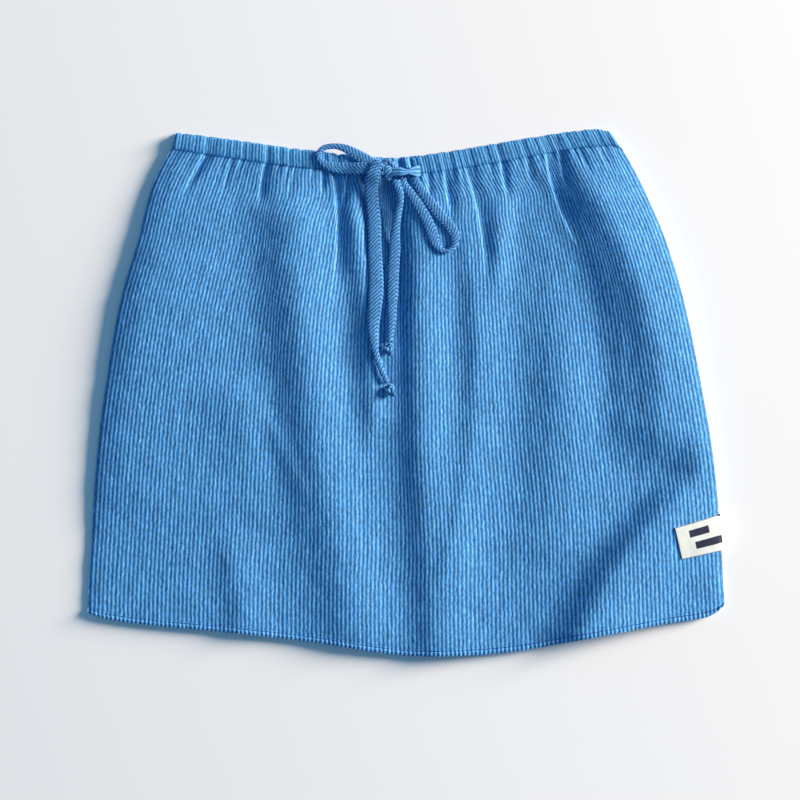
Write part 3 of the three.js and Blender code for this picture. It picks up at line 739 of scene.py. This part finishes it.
def casing_piece(name, u, low, inset, valleys, creases, node_name):
    """A closed flat tube from the waist seam up to the top edge."""
    # along the waist, in columns
    stripe = np.arange(len(u))[:, None] / PARTS
    wave = np.cos(math.tau * stripe)
    u, valley = u[:, None], np.clip(valleys / 1.3, 0, 1.3)[:, None]
    seam_x = mix(WAIST_SEAM["x"][0], WAIST_SEAM["x"][-1], u)
    top_x = mix(CASING_TOP["x"][0], CASING_TOP["x"][-1], u)
    from_left, from_right = u * WAIST_WIDTH, (1 - u) * WAIST_WIDTH
    rounded = np.clip(1 - np.minimum(from_left, from_right) / CASING_ROUND, 0, 1)
    taper = np.sqrt(np.clip(1 - rounded**2, 0.02, 1))
    corner = (RIGHT_CUT[0] * near_edge(from_right, RIGHT_CUT[1])
              + LEFT_CUT[0] * near_edge(from_left, LEFT_CUT[1]))
    seam_y = read(WAIST_SEAM, "x", seam_x, "y") - SEWN_IN
    top_y = (read(CASING_TOP, "x", top_x, "y") + SCALLOP * (0.35 - valley) - inset - corner
             + TOP_RIB * wave)
    pinched = sum(np.exp(-((top_x - at) / wide)**2) for at, wide in PINCHES)
    puff = CASING_PUFF * (1 - valley)
    height = CASING + puff - np.reshape(creases, (-1, 1)) - PINCH * pinched
    # round the tube, in rows
    angle = np.linspace(0, math.tau, CASING_RING, endpoint=False)
    up, out = (np.sign(q) * np.abs(q) ** SQUARENESS for q in (-np.cos(angle), np.sin(angle)))
    share = 0.5 + 0.5 * up
    crown = 1 - np.where(up < 0, CROWN_BELOW, CROWN_ABOVE) * np.abs(up)**3
    x = mix(seam_x, top_x, share) + 0.12 * np.sin(math.tau * (0.23 * stripe + 1.4 * share))
    y = mix(seam_y, top_y, share) + 0.25 * np.sin(math.tau * 0.37 * stripe) * (1 - up**2)
    upper = height / 2 * (1 + out * crown) + CASING_RIB * wave * np.maximum(out, 0)
    lower = height / 2 * (1 + out) + BACK_CASING_RIB * (1 - wave) * np.maximum(-out, 0)
    z = low + mix(height / 2, np.where(out > 0, upper, lower), taper)
    points = np.stack([x, y, z], axis=-1).reshape(-1, 3)
    faces = [face[::-1] for face in tube_faces(len(u), CASING_RING)]
    weave = np.stack([np.broadcast_to(stripe, y.shape), -y * MM], axis=-1)
    return make_piece(name, points, faces, weave.reshape(-1, 2), "casing_cloth",
                      [node_name], casing_cloth)


# %% Front and back casing
FRONT_CASING_LOW, FRONT_INSET, BACK_INSET = 3.3, 0.8, 0.2
CREASE_IN_CASING = 0.3          # the share of a crease's depth that runs on into the casing
seam_row = np.zeros(front_columns)
seam_creases = CREASE_IN_CASING * crease_depth(*lay_out(front_u[0], seam_row))
casing_front = casing_piece(
    "casing_front_cloth", front_u[0], FRONT_CASING_LOW, FRONT_INSET,
    gather_valleys(front_u[0], seam_row), seam_creases, "casing_front")
casing_back = casing_piece(
    "casing_back_cloth", back_u[0], 0.0, BACK_INSET,
    gather_valleys(1 - back_u[0], seam_row), 0.0, "casing_back")


# %% Finding a place on a panel
LOCATE_STEPS = 6                # each step brings the place nearer to the one asked for


def locate(x, y):
    """The u and t of places in plan, by going nearer a few times."""
    u = np.full(np.shape(x), 0.5)
    for _ in range(LOCATE_STEPS):
        seam_y = read(WAIST_SEAM, "x", mix(WAIST_SEAM["x"][0], WAIST_SEAM["x"][-1], u), "y")
        hem_y = read(HEM, "x", mix(HEM["x"][0], HEM["x"][-1], u), "y")
        t = np.clip((seam_y - y) / (seam_y - hem_y), 0, 1)
        left, right = lay_out(np.zeros_like(u), t)[0], lay_out(np.ones_like(u), t)[0]
        u = np.clip((x - left) / (right - left), 0, 1)
    return u, t


def front_height(x, y):
    """The outer face of the front at places in plan, without its ribs."""
    u, t = locate(x, y)
    return front_top(u, t, x, y, np.zeros_like(u), ribs=0.0)


# %% [markdown]
# ## The drawstring
# The tie is a strip cut on the bias, sewn into a tube, turned and left flat, so its
# stripes run slantwise and it bends softly round the bow. Each loop and each tail is
# one flat tube swept along the route that its solid takes, laid on this cloth. Where the
# knot pinches the tie, or a loop turns back, it stands on edge, which is drawn as a
# narrower and thicker ring there.

# %% Routes of the loops and tails, in mm
LOOP_LEFT = [
    (-17.2, 172.2, 8.2), (-26.6, 174.4, 8.2), (-33.4, 178.2, 8.2), (-40.3, 182.2, 8.2),
    (-47.8, 185.8, 8.2), (-56.2, 186.9, 8.2), (-63.4, 185.0, 8.2), (-66.6, 180.2, 8.2),
    (-64.2, 175.4, 8.2), (-57.8, 171.6, 8.3), (-46.0, 170.0, 8.6), (-35.0, 170.0, 10.6),
    (-25.8, 170.4, 10.8), (-17.4, 170.8, 10.8)]
LOOP_RIGHT = [
    (-2.2, 163.6, 8.8), (-1.6, 158.4, 8.8), (1.4, 154.0, 9.0), (6.4, 146.6, 9.9),
    (11.6, 138.4, 10.8), (16.4, 129.6, 11.1), (20.2, 119.6, 10.9), (22.6, 112.8, 10.6),
    (27.0, 108.0, 10.2), (32.4, 107.6, 9.9), (36.6, 111.6, 9.7), (37.4, 117.6, 9.6),
    (34.8, 124.0, 9.7), (28.8, 131.2, 9.8), (22.0, 139.2, 10.0), (15.5, 147.7, 9.7),
    (10.2, 155.2, 9.0), (6.2, 163.6, 9.0)]
TAIL_LEFT = [
    (-20.0, 174.6, 13.3), (-22.6, 170.6, 13.3), (-25.0, 164.5, 13.1), (-26.4, 156.5, 9.8),
    (-25.7, 146.3, 7.2), (-24.3, 132.6, 7.1), (-23.9, 115.9, 7.3), (-23.2, 99.2, 8.3),
    (-22.6, 83.2, 9.2), (-23.2, 70.3, 10.3), (-24.3, 56.6, 10.8), (-24.9, 42.9, 11.6),
    (-22.8, 30.0, 11.5), (-19.8, 20.1, 11.0), (-14.2, 7.4, 9.7)]
TAIL_RIGHT = [
    (-7.4, 161.2, 11.2), (-7.2, 158.2, 11.2), (-4.8, 152.6, 11.3), (-4.2, 146.5, 10.7),
    (-5.4, 139.5, 9.4), (-6.8, 131.0, 8.8), (-8.1, 120.5, 8.0), (-8.6, 107.5, 7.4),
    (-9.5, 94.6, 7.3), (-10.0, 81.7, 7.4), (-10.4, 68.8, 7.5), (-10.8, 56.6, 8.0),
    (-11.6, 46.0, 8.2), (-12.4, 38.9, 8.5)]


# %% A flat tube along a route
CURVE_STEPS = 40                # places worked out between two points of a route
RING_STEP, RING_SIDES = 0.8, 24             # mm of route between two rings, points round one
FLAT_ACROSS, FLAT_UP = 0.7, 0.75            # below 1, a ring is squarer than an ellipse
BIAS_PITCH = 3.0                # mm along the tie from one slanting stripe to the next
TIE_RIB = 0.21                  # how far a stripe stands up on the tie
TIE_SEAM = 0.34                 # how far across the width the seam lies
SEAM_GROOVE, GROOVE_WIDTH = 0.25, 0.5       # how deep it pulls in, and over how many mm


def curve_through(points):
    """The centripetal curve that the solids follow: places on it, and their mm along it."""
    p = np.asarray(points, float)
    p = np.vstack([2 * p[0] - p[1], p, 2 * p[-1] - p[-2]])
    drawn = []
    for a, b, c, d in zip(p, p[1:], p[2:], p[3:]):
        ab, bc, cd = (np.linalg.norm(q) ** 0.5 for q in (b - a, c - b, d - c))
        leave = ((b - a) / ab - (c - a) / (ab + bc) + (c - b) / bc) * bc
        arrive = ((c - b) / bc - (d - b) / (bc + cd) + (d - c) / cd) * bc
        s = np.linspace(0, 1, CURVE_STEPS, endpoint=False)[:, None]
        drawn.append((2 * s**3 - 3 * s**2 + 1) * b + (s**3 - 2 * s**2 + s) * leave
                     + (3 * s**2 - 2 * s**3) * c + (s**3 - s**2) * arrive)
    drawn = np.vstack([*drawn, p[-2:-1]])
    run = np.concatenate([[0], np.cumsum(np.linalg.norm(np.diff(drawn, axis=0), axis=1))])
    rings = max(4, round(run[-1] / RING_STEP)) + 1
    at = np.linspace(0, run[-1], rings)
    return np.stack([np.interp(at, run, drawn[:, k]) for k in range(3)], axis=1), at


def unit(vectors):
    """The same directions, each of length 1."""
    return vectors / np.linalg.norm(vectors, axis=-1, keepdims=True)


def flat_tube(route, widths, thicknesses, pleats=0):
    """Points, faces and weave of a closed flat tube, then its line and its length. Width
    and thickness are read from (share of the length, mm) pairs. Its stripes run slantwise
    and turn back at the seam along one edge, or run lengthways as that many pleats."""
    line, at = curve_through(route)
    width, thickness = (np.interp(at / at[-1], *np.array(pairs, float).T)[:, None]
                        for pairs in (widths, thicknesses))
    forward = unit(np.gradient(line, axis=0))
    side = unit(np.cross([0, 0, 1.0], forward))
    up = np.cross(forward, side)
    angle = np.linspace(0, math.tau, RING_SIDES, endpoint=False)
    across, raised = (np.sign(q) * np.abs(q) ** flat for q, flat in (
        (np.cos(angle), FLAT_ACROSS), (np.sin(angle), FLAT_UP)))
    out = across * width / 2
    seam = TIE_SEAM * width
    groove = SEAM_GROOVE * np.exp(-((out - seam) / GROOVE_WIDTH)**2)
    stripe = (at[:, None] + np.where(out > seam, 2 * seam - out, out)) / BIAS_PITCH
    if pleats:
        stripe, groove = np.broadcast_to(across / 2 * pleats, out.shape), 0
    swell = TIE_RIB * np.cos(math.tau * stripe) * np.abs(raised) ** 0.5 - groove
    lift = raised * (thickness / 2 + swell)
    points = line[:, None] + side[:, None] * out[..., None] + up[:, None] * lift[..., None]
    weave = np.stack([stripe, (at[:, None] - out) * MM], axis=-1).reshape(-1, 2)
    return points.reshape(-1, 3), tube_faces(len(line), RING_SIDES), weave, line, at[-1]


# %% Loops and tails of the bow, with their widths and thicknesses
def tie_piece(name, node_name, route, widths, thicknesses):
    """One loop or tail as a piece of cloth."""
    points, faces, weave, line, length = flat_tube(route, widths, thicknesses)
    piece = make_piece(name, points, faces, weave, "tie_cloth", [node_name], tie_cloth)
    print(name, round(length, 1), "mm long")


tie_piece("bow_loop_left", "tie_loop_left", LOOP_LEFT,
          ((0, 6.5), (0.12, 9.2), (0.24, 7.6), (0.36, 4.4), (0.5, 4.0), (0.58, 5.6),
           (0.68, 8.2), (0.85, 9.0), (1, 6.5)),
          ((0, 2.6), (0.15, 2.1), (0.85, 2.1), (1, 2.6)))
tie_piece("bow_loop_right", "tie_loop_right", LOOP_RIGHT,
          ((0, 5.0), (0.15, 7.4), (0.38, 8.6), (0.45, 5.4), (0.5, 2.8), (0.55, 5.0),
           (0.62, 7.8), (0.85, 8.0), (1, 5.5)),
          ((0, 2.6), (0.15, 2.1), (0.42, 2.1), (0.5, 3.6), (0.58, 2.1), (0.85, 2.1), (1, 2.6)))
tie_piece("tie_tail_left_cloth", "tie_tail_left", TAIL_LEFT,
          ((0, 8.0), (0.08, 10.6), (0.2, 9.8), (0.45, 10.4), (0.6, 11.4), (0.7, 9.6),
           (0.8, 6.4), (0.88, 4.6), (1, 4.0)),
          ((0, 2.4), (0.8, 2.3), (0.95, 3.0), (1, 3.2)))
tie_piece("tie_tail_right_cloth", "tie_tail_right", TAIL_RIGHT,
          ((0, 6.5), (0.12, 5.2), (0.26, 5.8), (0.42, 8.6), (0.7, 8.6), (0.86, 6.4), (1, 4.4)),
          ((0, 3.0), (0.25, 3.2), (0.42, 2.1), (0.88, 2.2), (1, 3.2)))


# %% [markdown]
# ## Knots
# The bow's knot is the tie wrapped once round itself. From above it shows as a pinched
# cushion of lengthways pleats that fans out at its right end, with one turn of the
# tie strapped over its left half and one tucked in above it. Each tail ends in an
# overhand knot, a trefoil: a closed path that passes over and under itself three times.

# %% Joining closed tubes into one piece
def joined(*tubes):
    """One set of points, faces and weave from several tubes."""
    points, faces, weave, *_ = zip(*tubes)
    starts = np.cumsum([0] + [len(part) for part in points])
    all_faces = [[int(start) + i for i in face] for start, part in zip(starts, faces)
                 for face in part]
    return np.concatenate(points), all_faces, np.concatenate(weave)


# %% Bow knot
band = flat_tube(
    [(-16.0, 164.2, 9.6), (-13.6, 165.6, 11.4), (-9.6, 167.0, 12.4), (-4.8, 167.2, 12.8),
     (-0.8, 166.9, 12.4), (1.8, 167.0, 11.8), (4.6, 167.4, 11.0), (7.6, 167.8, 9.8),
     (10.9, 168.0, 8.1)],
    ((0, 3.6), (0.15, 6.8), (0.45, 7.2), (0.64, 3.4), (0.76, 7.0), (0.93, 10.4), (1, 7.6)),
    ((0, 3.0), (0.15, 5.6), (0.45, 6.2), (0.66, 4.8), (0.85, 2.6), (1, 0.8)), pleats=3)
strap = flat_tube(
    [(-10.8, 171.8, 9.6), (-12.0, 170.8, 12.6), (-13.0, 168.4, 14.4), (-13.2, 165.6, 14.1),
     (-12.6, 163.4, 12.0), (-11.4, 162.6, 9.6)],
    ((0, 5.0), (0.5, 7.0), (1, 5.2)), ((0, 1.6), (1, 1.6)))
tuck = flat_tube(
    [(-20.6, 169.4, 11.8), (-17.4, 173.4, 12.9), (-14.2, 176.0, 13.3), (-11.2, 173.8, 12.9),
     (-8.4, 170.6, 12.0)], ((0, 4.2), (0.5, 3.6), (1, 3.4)), ((0, 2.2), (1, 2.0)))
make_piece("bow_knot_cloth", *joined(band, strap, tuck), "tie_cloth", ["bow_knot"], tie_cloth)


# %% Knots at the ends of the tails
STRAND, STRAND_THICKNESS = 3.5, 2.2         # the tie, drawn tight in an end knot
KNOT_HALF_LENGTH, KNOT_RISE = 5.5, 1.7
TREFOIL_WIDE, TREFOIL_LONG = 2.65, 2.9      # half the width and length of the bare curve


def end_knot(name, node_name, centre, half_width, turn):
    """An overhand knot as a flattened trefoil, its long way turned from Y."""
    a = np.linspace(0, math.tau, 60)
    across = (half_width - STRAND / 2) / TREFOIL_WIDE * (np.sin(a) + 2 * np.sin(2 * a))
    along = (KNOT_HALF_LENGTH - STRAND / 2) / TREFOIL_LONG * (np.cos(a) - 2 * np.cos(2 * a))
    x = centre[0] + across * math.cos(turn) - along * math.sin(turn)
    y = centre[1] + across * math.sin(turn) + along * math.cos(turn)
    route = np.stack([x, y, centre[2] - KNOT_RISE * np.sin(3 * a)], axis=-1)[::2]
    points, faces, weave, *_ = flat_tube(
        route, ((0, STRAND), (1, STRAND)), ((0, STRAND_THICKNESS), (1, STRAND_THICKNESS)))
    make_piece(name, points, faces, weave, "tie_cloth", [node_name], tie_cloth)


end_knot("end_knot_left_cloth", "end_knot_left", (-11.8, 2.0, 10.8), 3.9, 0.42)
end_knot("end_knot_right_cloth", "end_knot_right", (-12.9, 33.1, 10.2), 3.8, 0.05)


# %% [markdown]
# ## Side tape
# A woven tape is caught in the right side seam, lies across the front and folds round
# the edge to the back. It is stiff enough to bridge the ribs. Two plain bars woven in
# navy stand where such a tape carries its lettering. A small navy mark at the fold is
# painted shade inside the fold, and the tape's edges are painted darker as their shadow.

# %% Material of the tape
# left, right, bottom and top, in mm on the tape: two lettering bars, then a small mark of painted
# shade inside the fold
TAPE_BARS_AND_FOLD_SHADE = ((9.5, 25.5, 4.6, 9.8), (12.5, 34.5, 13.6, 18.8), (34.4, 37.6, -1.0, 1.1))
INSIDE_PAINTED_EDGE_SHADE = (0.5, 99.0, 0.45, 23.35)     # outside this the tape is painted darker: painted shadow along its edges
TAPE_WHITE, NAVY = (0.66, 0.70, 0.67, 1), (0.012, 0.018, 0.045, 1)

tape_cloth, tree = new_material("side_tape_cloth")
tape_weave = weave_map(tree)


def rectangle(left, right, bottom, top):
    """1 inside a rectangle on the tape, 0 outside it."""
    inside = 1.0
    for value, low, high in zip(tape_weave, (left, bottom), (right, top)):
        for side_of, limit in (("GREATER_THAN", low), ("LESS_THAN", high)):
            inside = calc(tree, "MULTIPLY", inside, calc(tree, side_of, value, limit))
    return inside


# navy lettering bars, and painted shade at the fold
bars = 0.0
for bar in TAPE_BARS_AND_FOLD_SHADE:
    bars = calc(tree, "MAXIMUM", rectangle(*bar), bars)
# the weft varies the tone a little, and the tape's edges get painted shadow
weft = noise_over(tree, tape_weave, (2.4, 3.4))
tone_and_painted_shade = calc(tree, "MULTIPLY", calc(tree, "MULTIPLY_ADD", weft, 0.14, 0.93),
            calc(tree, "MULTIPLY_ADD", rectangle(*INSIDE_PAINTED_EDGE_SHADE), 0.45, 0.55))
relief = node(tree, "ShaderNodeBump", {"Height": weft, "Strength": 0.3, "Distance": 0.2 * MM})
surface(tree, toned(tree, blend_colours(tree, bars, TAPE_WHITE, NAVY), tone_and_painted_shade), 0.7, 0.3,
        {"Normal": relief.outputs[0]})
print(len(TAPE_BARS_AND_FOLD_SHADE), "bars on the tape")


# %% Tape folded round the edge
# front end x and y, y at the fold, rear end x and y: of the upper edge and of the lower
TAPE_EDGES = ((203.6, -102.4, -92.4, 207.0, -87.0), (209.4, -126.2, -119.8, 210.6, -112.2))
TAPE_WIDTH, TAPE, TAPE_REST = 23.8, 1.0, 0.45       # its thickness, and its gap over the ribs
TAPE_BEND = 1.4                                     # how far it stands out past the edge
FRONT_STEPS, BEND_STEPS, BACK_STEPS, TAPE_ROWS = 60, 12, 40, 30
TAPE_BOW, BOW_LOSS = 1.6, 0.6   # how its upper edge curves, and how much less the lower does
BRIDGING_STEPS, SAG = 40, 0.004             # it is drawn taut in steps, and sags this little

down = np.linspace(0, 1, TAPE_ROWS)
front_x, front_y, fold_y, rear_x, rear_y = (
    mix(upper, lower, down)[:, None] for upper, lower in zip(*TAPE_EDGES))
edge_x = read(SIDES, "y", fold_y, "right")
s = np.linspace(0, 1, FRONT_STEPS)[None, :]
x = mix(front_x, edge_x, s)
y = mix(front_y, fold_y, s) - TAPE_BOW * s * (1 - s) * (1 - BOW_LOSS * down[:, None])
z = front_height(x, y) + RIB + TAPE_REST
for _ in range(BRIDGING_STEPS):
    z[:, 1:-1] = np.maximum(z[:, 1:-1], 0.5 * (z[:, :-2] + z[:, 2:]) - SAG)
over = np.stack([x, y, z], axis=-1)
turn = np.linspace(0, math.pi, BEND_STEPS + 2)[None, 1:-1]
top_z, low_z = z[:, -1:], TAPE / 2
round_edge = np.stack([
    edge_x + TAPE_BEND * np.sin(turn), np.broadcast_to(fold_y, (TAPE_ROWS, BEND_STEPS)),
    mix(low_z, top_z, 0.5 + 0.5 * np.cos(turn))], axis=-1)
s = np.linspace(0, 1, BACK_STEPS)[None, :]
under = np.stack([mix(edge_x, rear_x, s), mix(fold_y, rear_y, s),
                  np.full((TAPE_ROWS, BACK_STEPS), low_z)], axis=-1)
middle = np.concatenate([over, round_edge, under], axis=1)

# %% Tape as a closed sheet
normal = unit(np.cross(np.gradient(middle, axis=0), np.gradient(middle, axis=1)))
skins = [(middle + way * normal * TAPE / 2).reshape(-1, 3) for way in (1, -1)]
steps = np.linalg.norm(np.diff(middle, axis=1), axis=2)
run = np.concatenate([np.zeros((TAPE_ROWS, 1)), np.cumsum(steps, axis=1)], axis=1)
size = run.size
index = np.arange(size).reshape(run.shape)
border = np.concatenate([index[0], index[1:, -1], index[-1, -2::-1], index[-2:0:-1, 0]]).tolist()
faces = grid_faces(*run.shape) + grid_faces(*run.shape, size, flip=True)
faces += [[size + a, size + b, b, a] for a, b in zip(border, border[1:] + border[:1])]
weave = np.stack([run, np.broadcast_to(down[:, None] * TAPE_WIDTH, run.shape)], axis=-1)
side_tape = make_piece("side_tape_cloth", np.concatenate(skins), faces,
                       np.tile(weave.reshape(-1, 2), (2, 1)), "side_tape", ["side_tape"],
                       tape_cloth)


# %% [markdown]
# ## Stitches
# Lockstitch shows as short threads lying end to end in the groove that they pull. A
# stitch repeats hundreds of times along a seam, so Geometry Nodes sets them out: one
# small thread is instanced at every pitch of a seam line and turned to follow it.
# The pitch, the thread's length and its radius are named inputs, and the finished
# stitches become a plain mesh.

# %% The stitch node group
STITCH_PITCH, STITCH_LENGTH, THREAD_RADIUS = 3.0 * MM, 2.8 * MM, 0.36 * MM

stitching = bpy.data.node_groups.new("stitching", "GeometryNodeTree")
sockets = {name: stitching.interface.new_socket(
    name, in_out=way, socket_type="NodeSocket" + kind) for name, way, kind in (
        ("Seam line", "INPUT", "Geometry"), ("Pitch", "INPUT", "Float"),
        ("Thread length", "INPUT", "Float"), ("Thread radius", "INPUT", "Float"),
        ("Thread", "INPUT", "Material"), ("Stitches", "OUTPUT", "Geometry"))}
given = node(stitching, "NodeGroupInput")
line = node(stitching, "GeometryNodeMeshToCurve", {"Mesh": given.outputs["Seam line"]})
spaced = node(stitching, "GeometryNodeResampleCurve", {"Curve": line.outputs[0]}, mode="LENGTH")
pitch_socket = next(s for s in spaced.inputs if s.identifier == "Length")
stitching.links.new(given.outputs["Pitch"], pitch_socket)
bead = node(stitching, "GeometryNodeMeshUVSphere", {"Segments": 6, "Rings": 4, "Radius": 1.0})
half = calc(stitching, "MULTIPLY", given.outputs["Thread length"], 0.5)
radius = given.outputs["Thread radius"]
size = node(stitching, "ShaderNodeCombineXYZ", {0: half, 1: radius, 2: radius})
tangent = node(stitching, "GeometryNodeInputTangent")
turned = node(stitching, "FunctionNodeAlignRotationToVector",
              {"Vector": tangent.outputs[0]}, axis="X")
placed = node(stitching, "GeometryNodeInstanceOnPoints", {
    "Points": spaced.outputs[0], "Instance": bead.outputs["Mesh"],
    "Rotation": turned.outputs[0], "Scale": size.outputs[0]})
real = node(stitching, "GeometryNodeRealizeInstances", {0: placed.outputs[0]})
named = node(stitching, "GeometryNodeSetMaterial", {"Geometry": real.outputs[0],
                                                    "Material": given.outputs["Thread"]})
node(stitching, "NodeGroupOutput", {0: named.outputs[0]})
print("stitching:", len(stitching.nodes), "nodes")


# %% Stitched seams
SEAM_ENDS, SEAM_POINTS = (0.006, 0.994), 500
BESIDE_RIB = 0.25               # a thread lies a quarter stripe beside a rib's top


def stitched(name, points, thread_material):
    """Stitches along a line of points in mm, as one plain mesh."""
    mesh = bpy.data.meshes.new(name)
    mesh.from_pydata((points * MM).tolist(), [(i, i + 1) for i in range(len(points) - 1)], [])
    piece = bpy.data.objects.new(name, mesh)
    bpy.context.collection.objects.link(piece)
    modifier = piece.modifiers.new("stitching", "NODES")
    modifier.node_group = stitching
    for key, value in (("Pitch", STITCH_PITCH), ("Thread length", STITCH_LENGTH),
                       ("Thread radius", THREAD_RADIUS), ("Thread", thread_material)):
        modifier[sockets[key].identifier] = value
    seen = piece.evaluated_get(bpy.context.evaluated_depsgraph_get())
    made = bpy.data.meshes.new_from_object(seen)
    piece.modifiers.clear()
    piece.data = made
    made.shade_smooth()
    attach(piece, "root")
    print(name, len(made.polygons), "faces")


def seam_line(from_top, height_of, lift):
    """Points along a line a set share of a panel's length below the casing, lifted by
    some mm from the cloth, or sunk into it where the thread pulls it in."""
    u = np.linspace(*SEAM_ENDS, SEAM_POINTS)
    t = np.full_like(u, from_top)
    x, y = lay_out(u, t)
    z = height_of(u, t, x, y, np.full_like(u, BESIDE_RIB)) + lift
    return np.stack([x, y, z], axis=-1)


hem_thread = matt("hem_thread", (0.006, 0.085, 0.36, 1))
casing_thread = matt("casing_thread", (0.030, 0.210, 0.54, 1))
HEM_LINE, CASING_LINE = 1 - HEM_BAND / LENGTH, 0.002
for name, from_top, height_of, lift, thread in (
        ("hem_stitches_front", HEM_LINE, front_top, 0.22, hem_thread),
        ("casing_stitches_front", CASING_LINE, front_top, -0.20, casing_thread),
        ("hem_stitches_back", HEM_LINE, back_face, 0.12, hem_thread)):
    stitched(name, seam_line(from_top, height_of, lift), thread)


# %% [markdown]
# ## Table and light
# A pale table and one large soft lamp from the right, low enough to rake across the
# folds, with a bright plain room around it to fill their shadows.

# %% Table, lamp and room
REACH = 6.0
table_mesh = bpy.data.meshes.new("table_top")
table_mesh.from_pydata([(-REACH, -REACH, 0), (REACH, -REACH, 0), (REACH, REACH, 0),
                        (-REACH, REACH, 0)], [], [(0, 1, 2, 3)])
table_mesh.materials.append(matt("pale_table", (0.93, 0.93, 0.93, 1)))
table_top = bpy.data.objects.new("table_top", table_mesh)
bpy.context.collection.objects.link(table_top)

LAMP_PLACE, LAMP_SIZE, LAMP_ENERGY = (5.55, 1.93, 1.82), 2.6, 1070      # m, m, W
LAMP_COLOUR = (1.0, 0.86, 0.72)
ROOM_COLOUR, ROOM_STRENGTH = (0.28, 0.63, 1, 1), 0.36

lamp_data = bpy.data.lights.new("window", "AREA")
lamp_data.shape = "DISK"
lamp_data.size = LAMP_SIZE
lamp_data.energy = LAMP_ENERGY
lamp_data.color = LAMP_COLOUR
lamp = bpy.data.objects.new("window", lamp_data)
lamp.location = LAMP_PLACE
lamp.rotation_mode = "QUATERNION"
lamp.rotation_quaternion = lamp.location.to_track_quat("Z", "Y")
bpy.context.collection.objects.link(lamp)

room = bpy.data.worlds.new("room")
room.use_nodes = True
background = room.node_tree.nodes["Background"]
background.inputs["Color"].default_value = ROOM_COLOUR
background.inputs["Strength"].default_value = ROOM_STRENGTH
bpy.context.scene.world = room
bpy.context.scene.view_settings.view_transform = "Standard"
bpy.context.scene.view_settings.look = "None"
print("lamp at", [round(v, 2) for v in lamp.location])
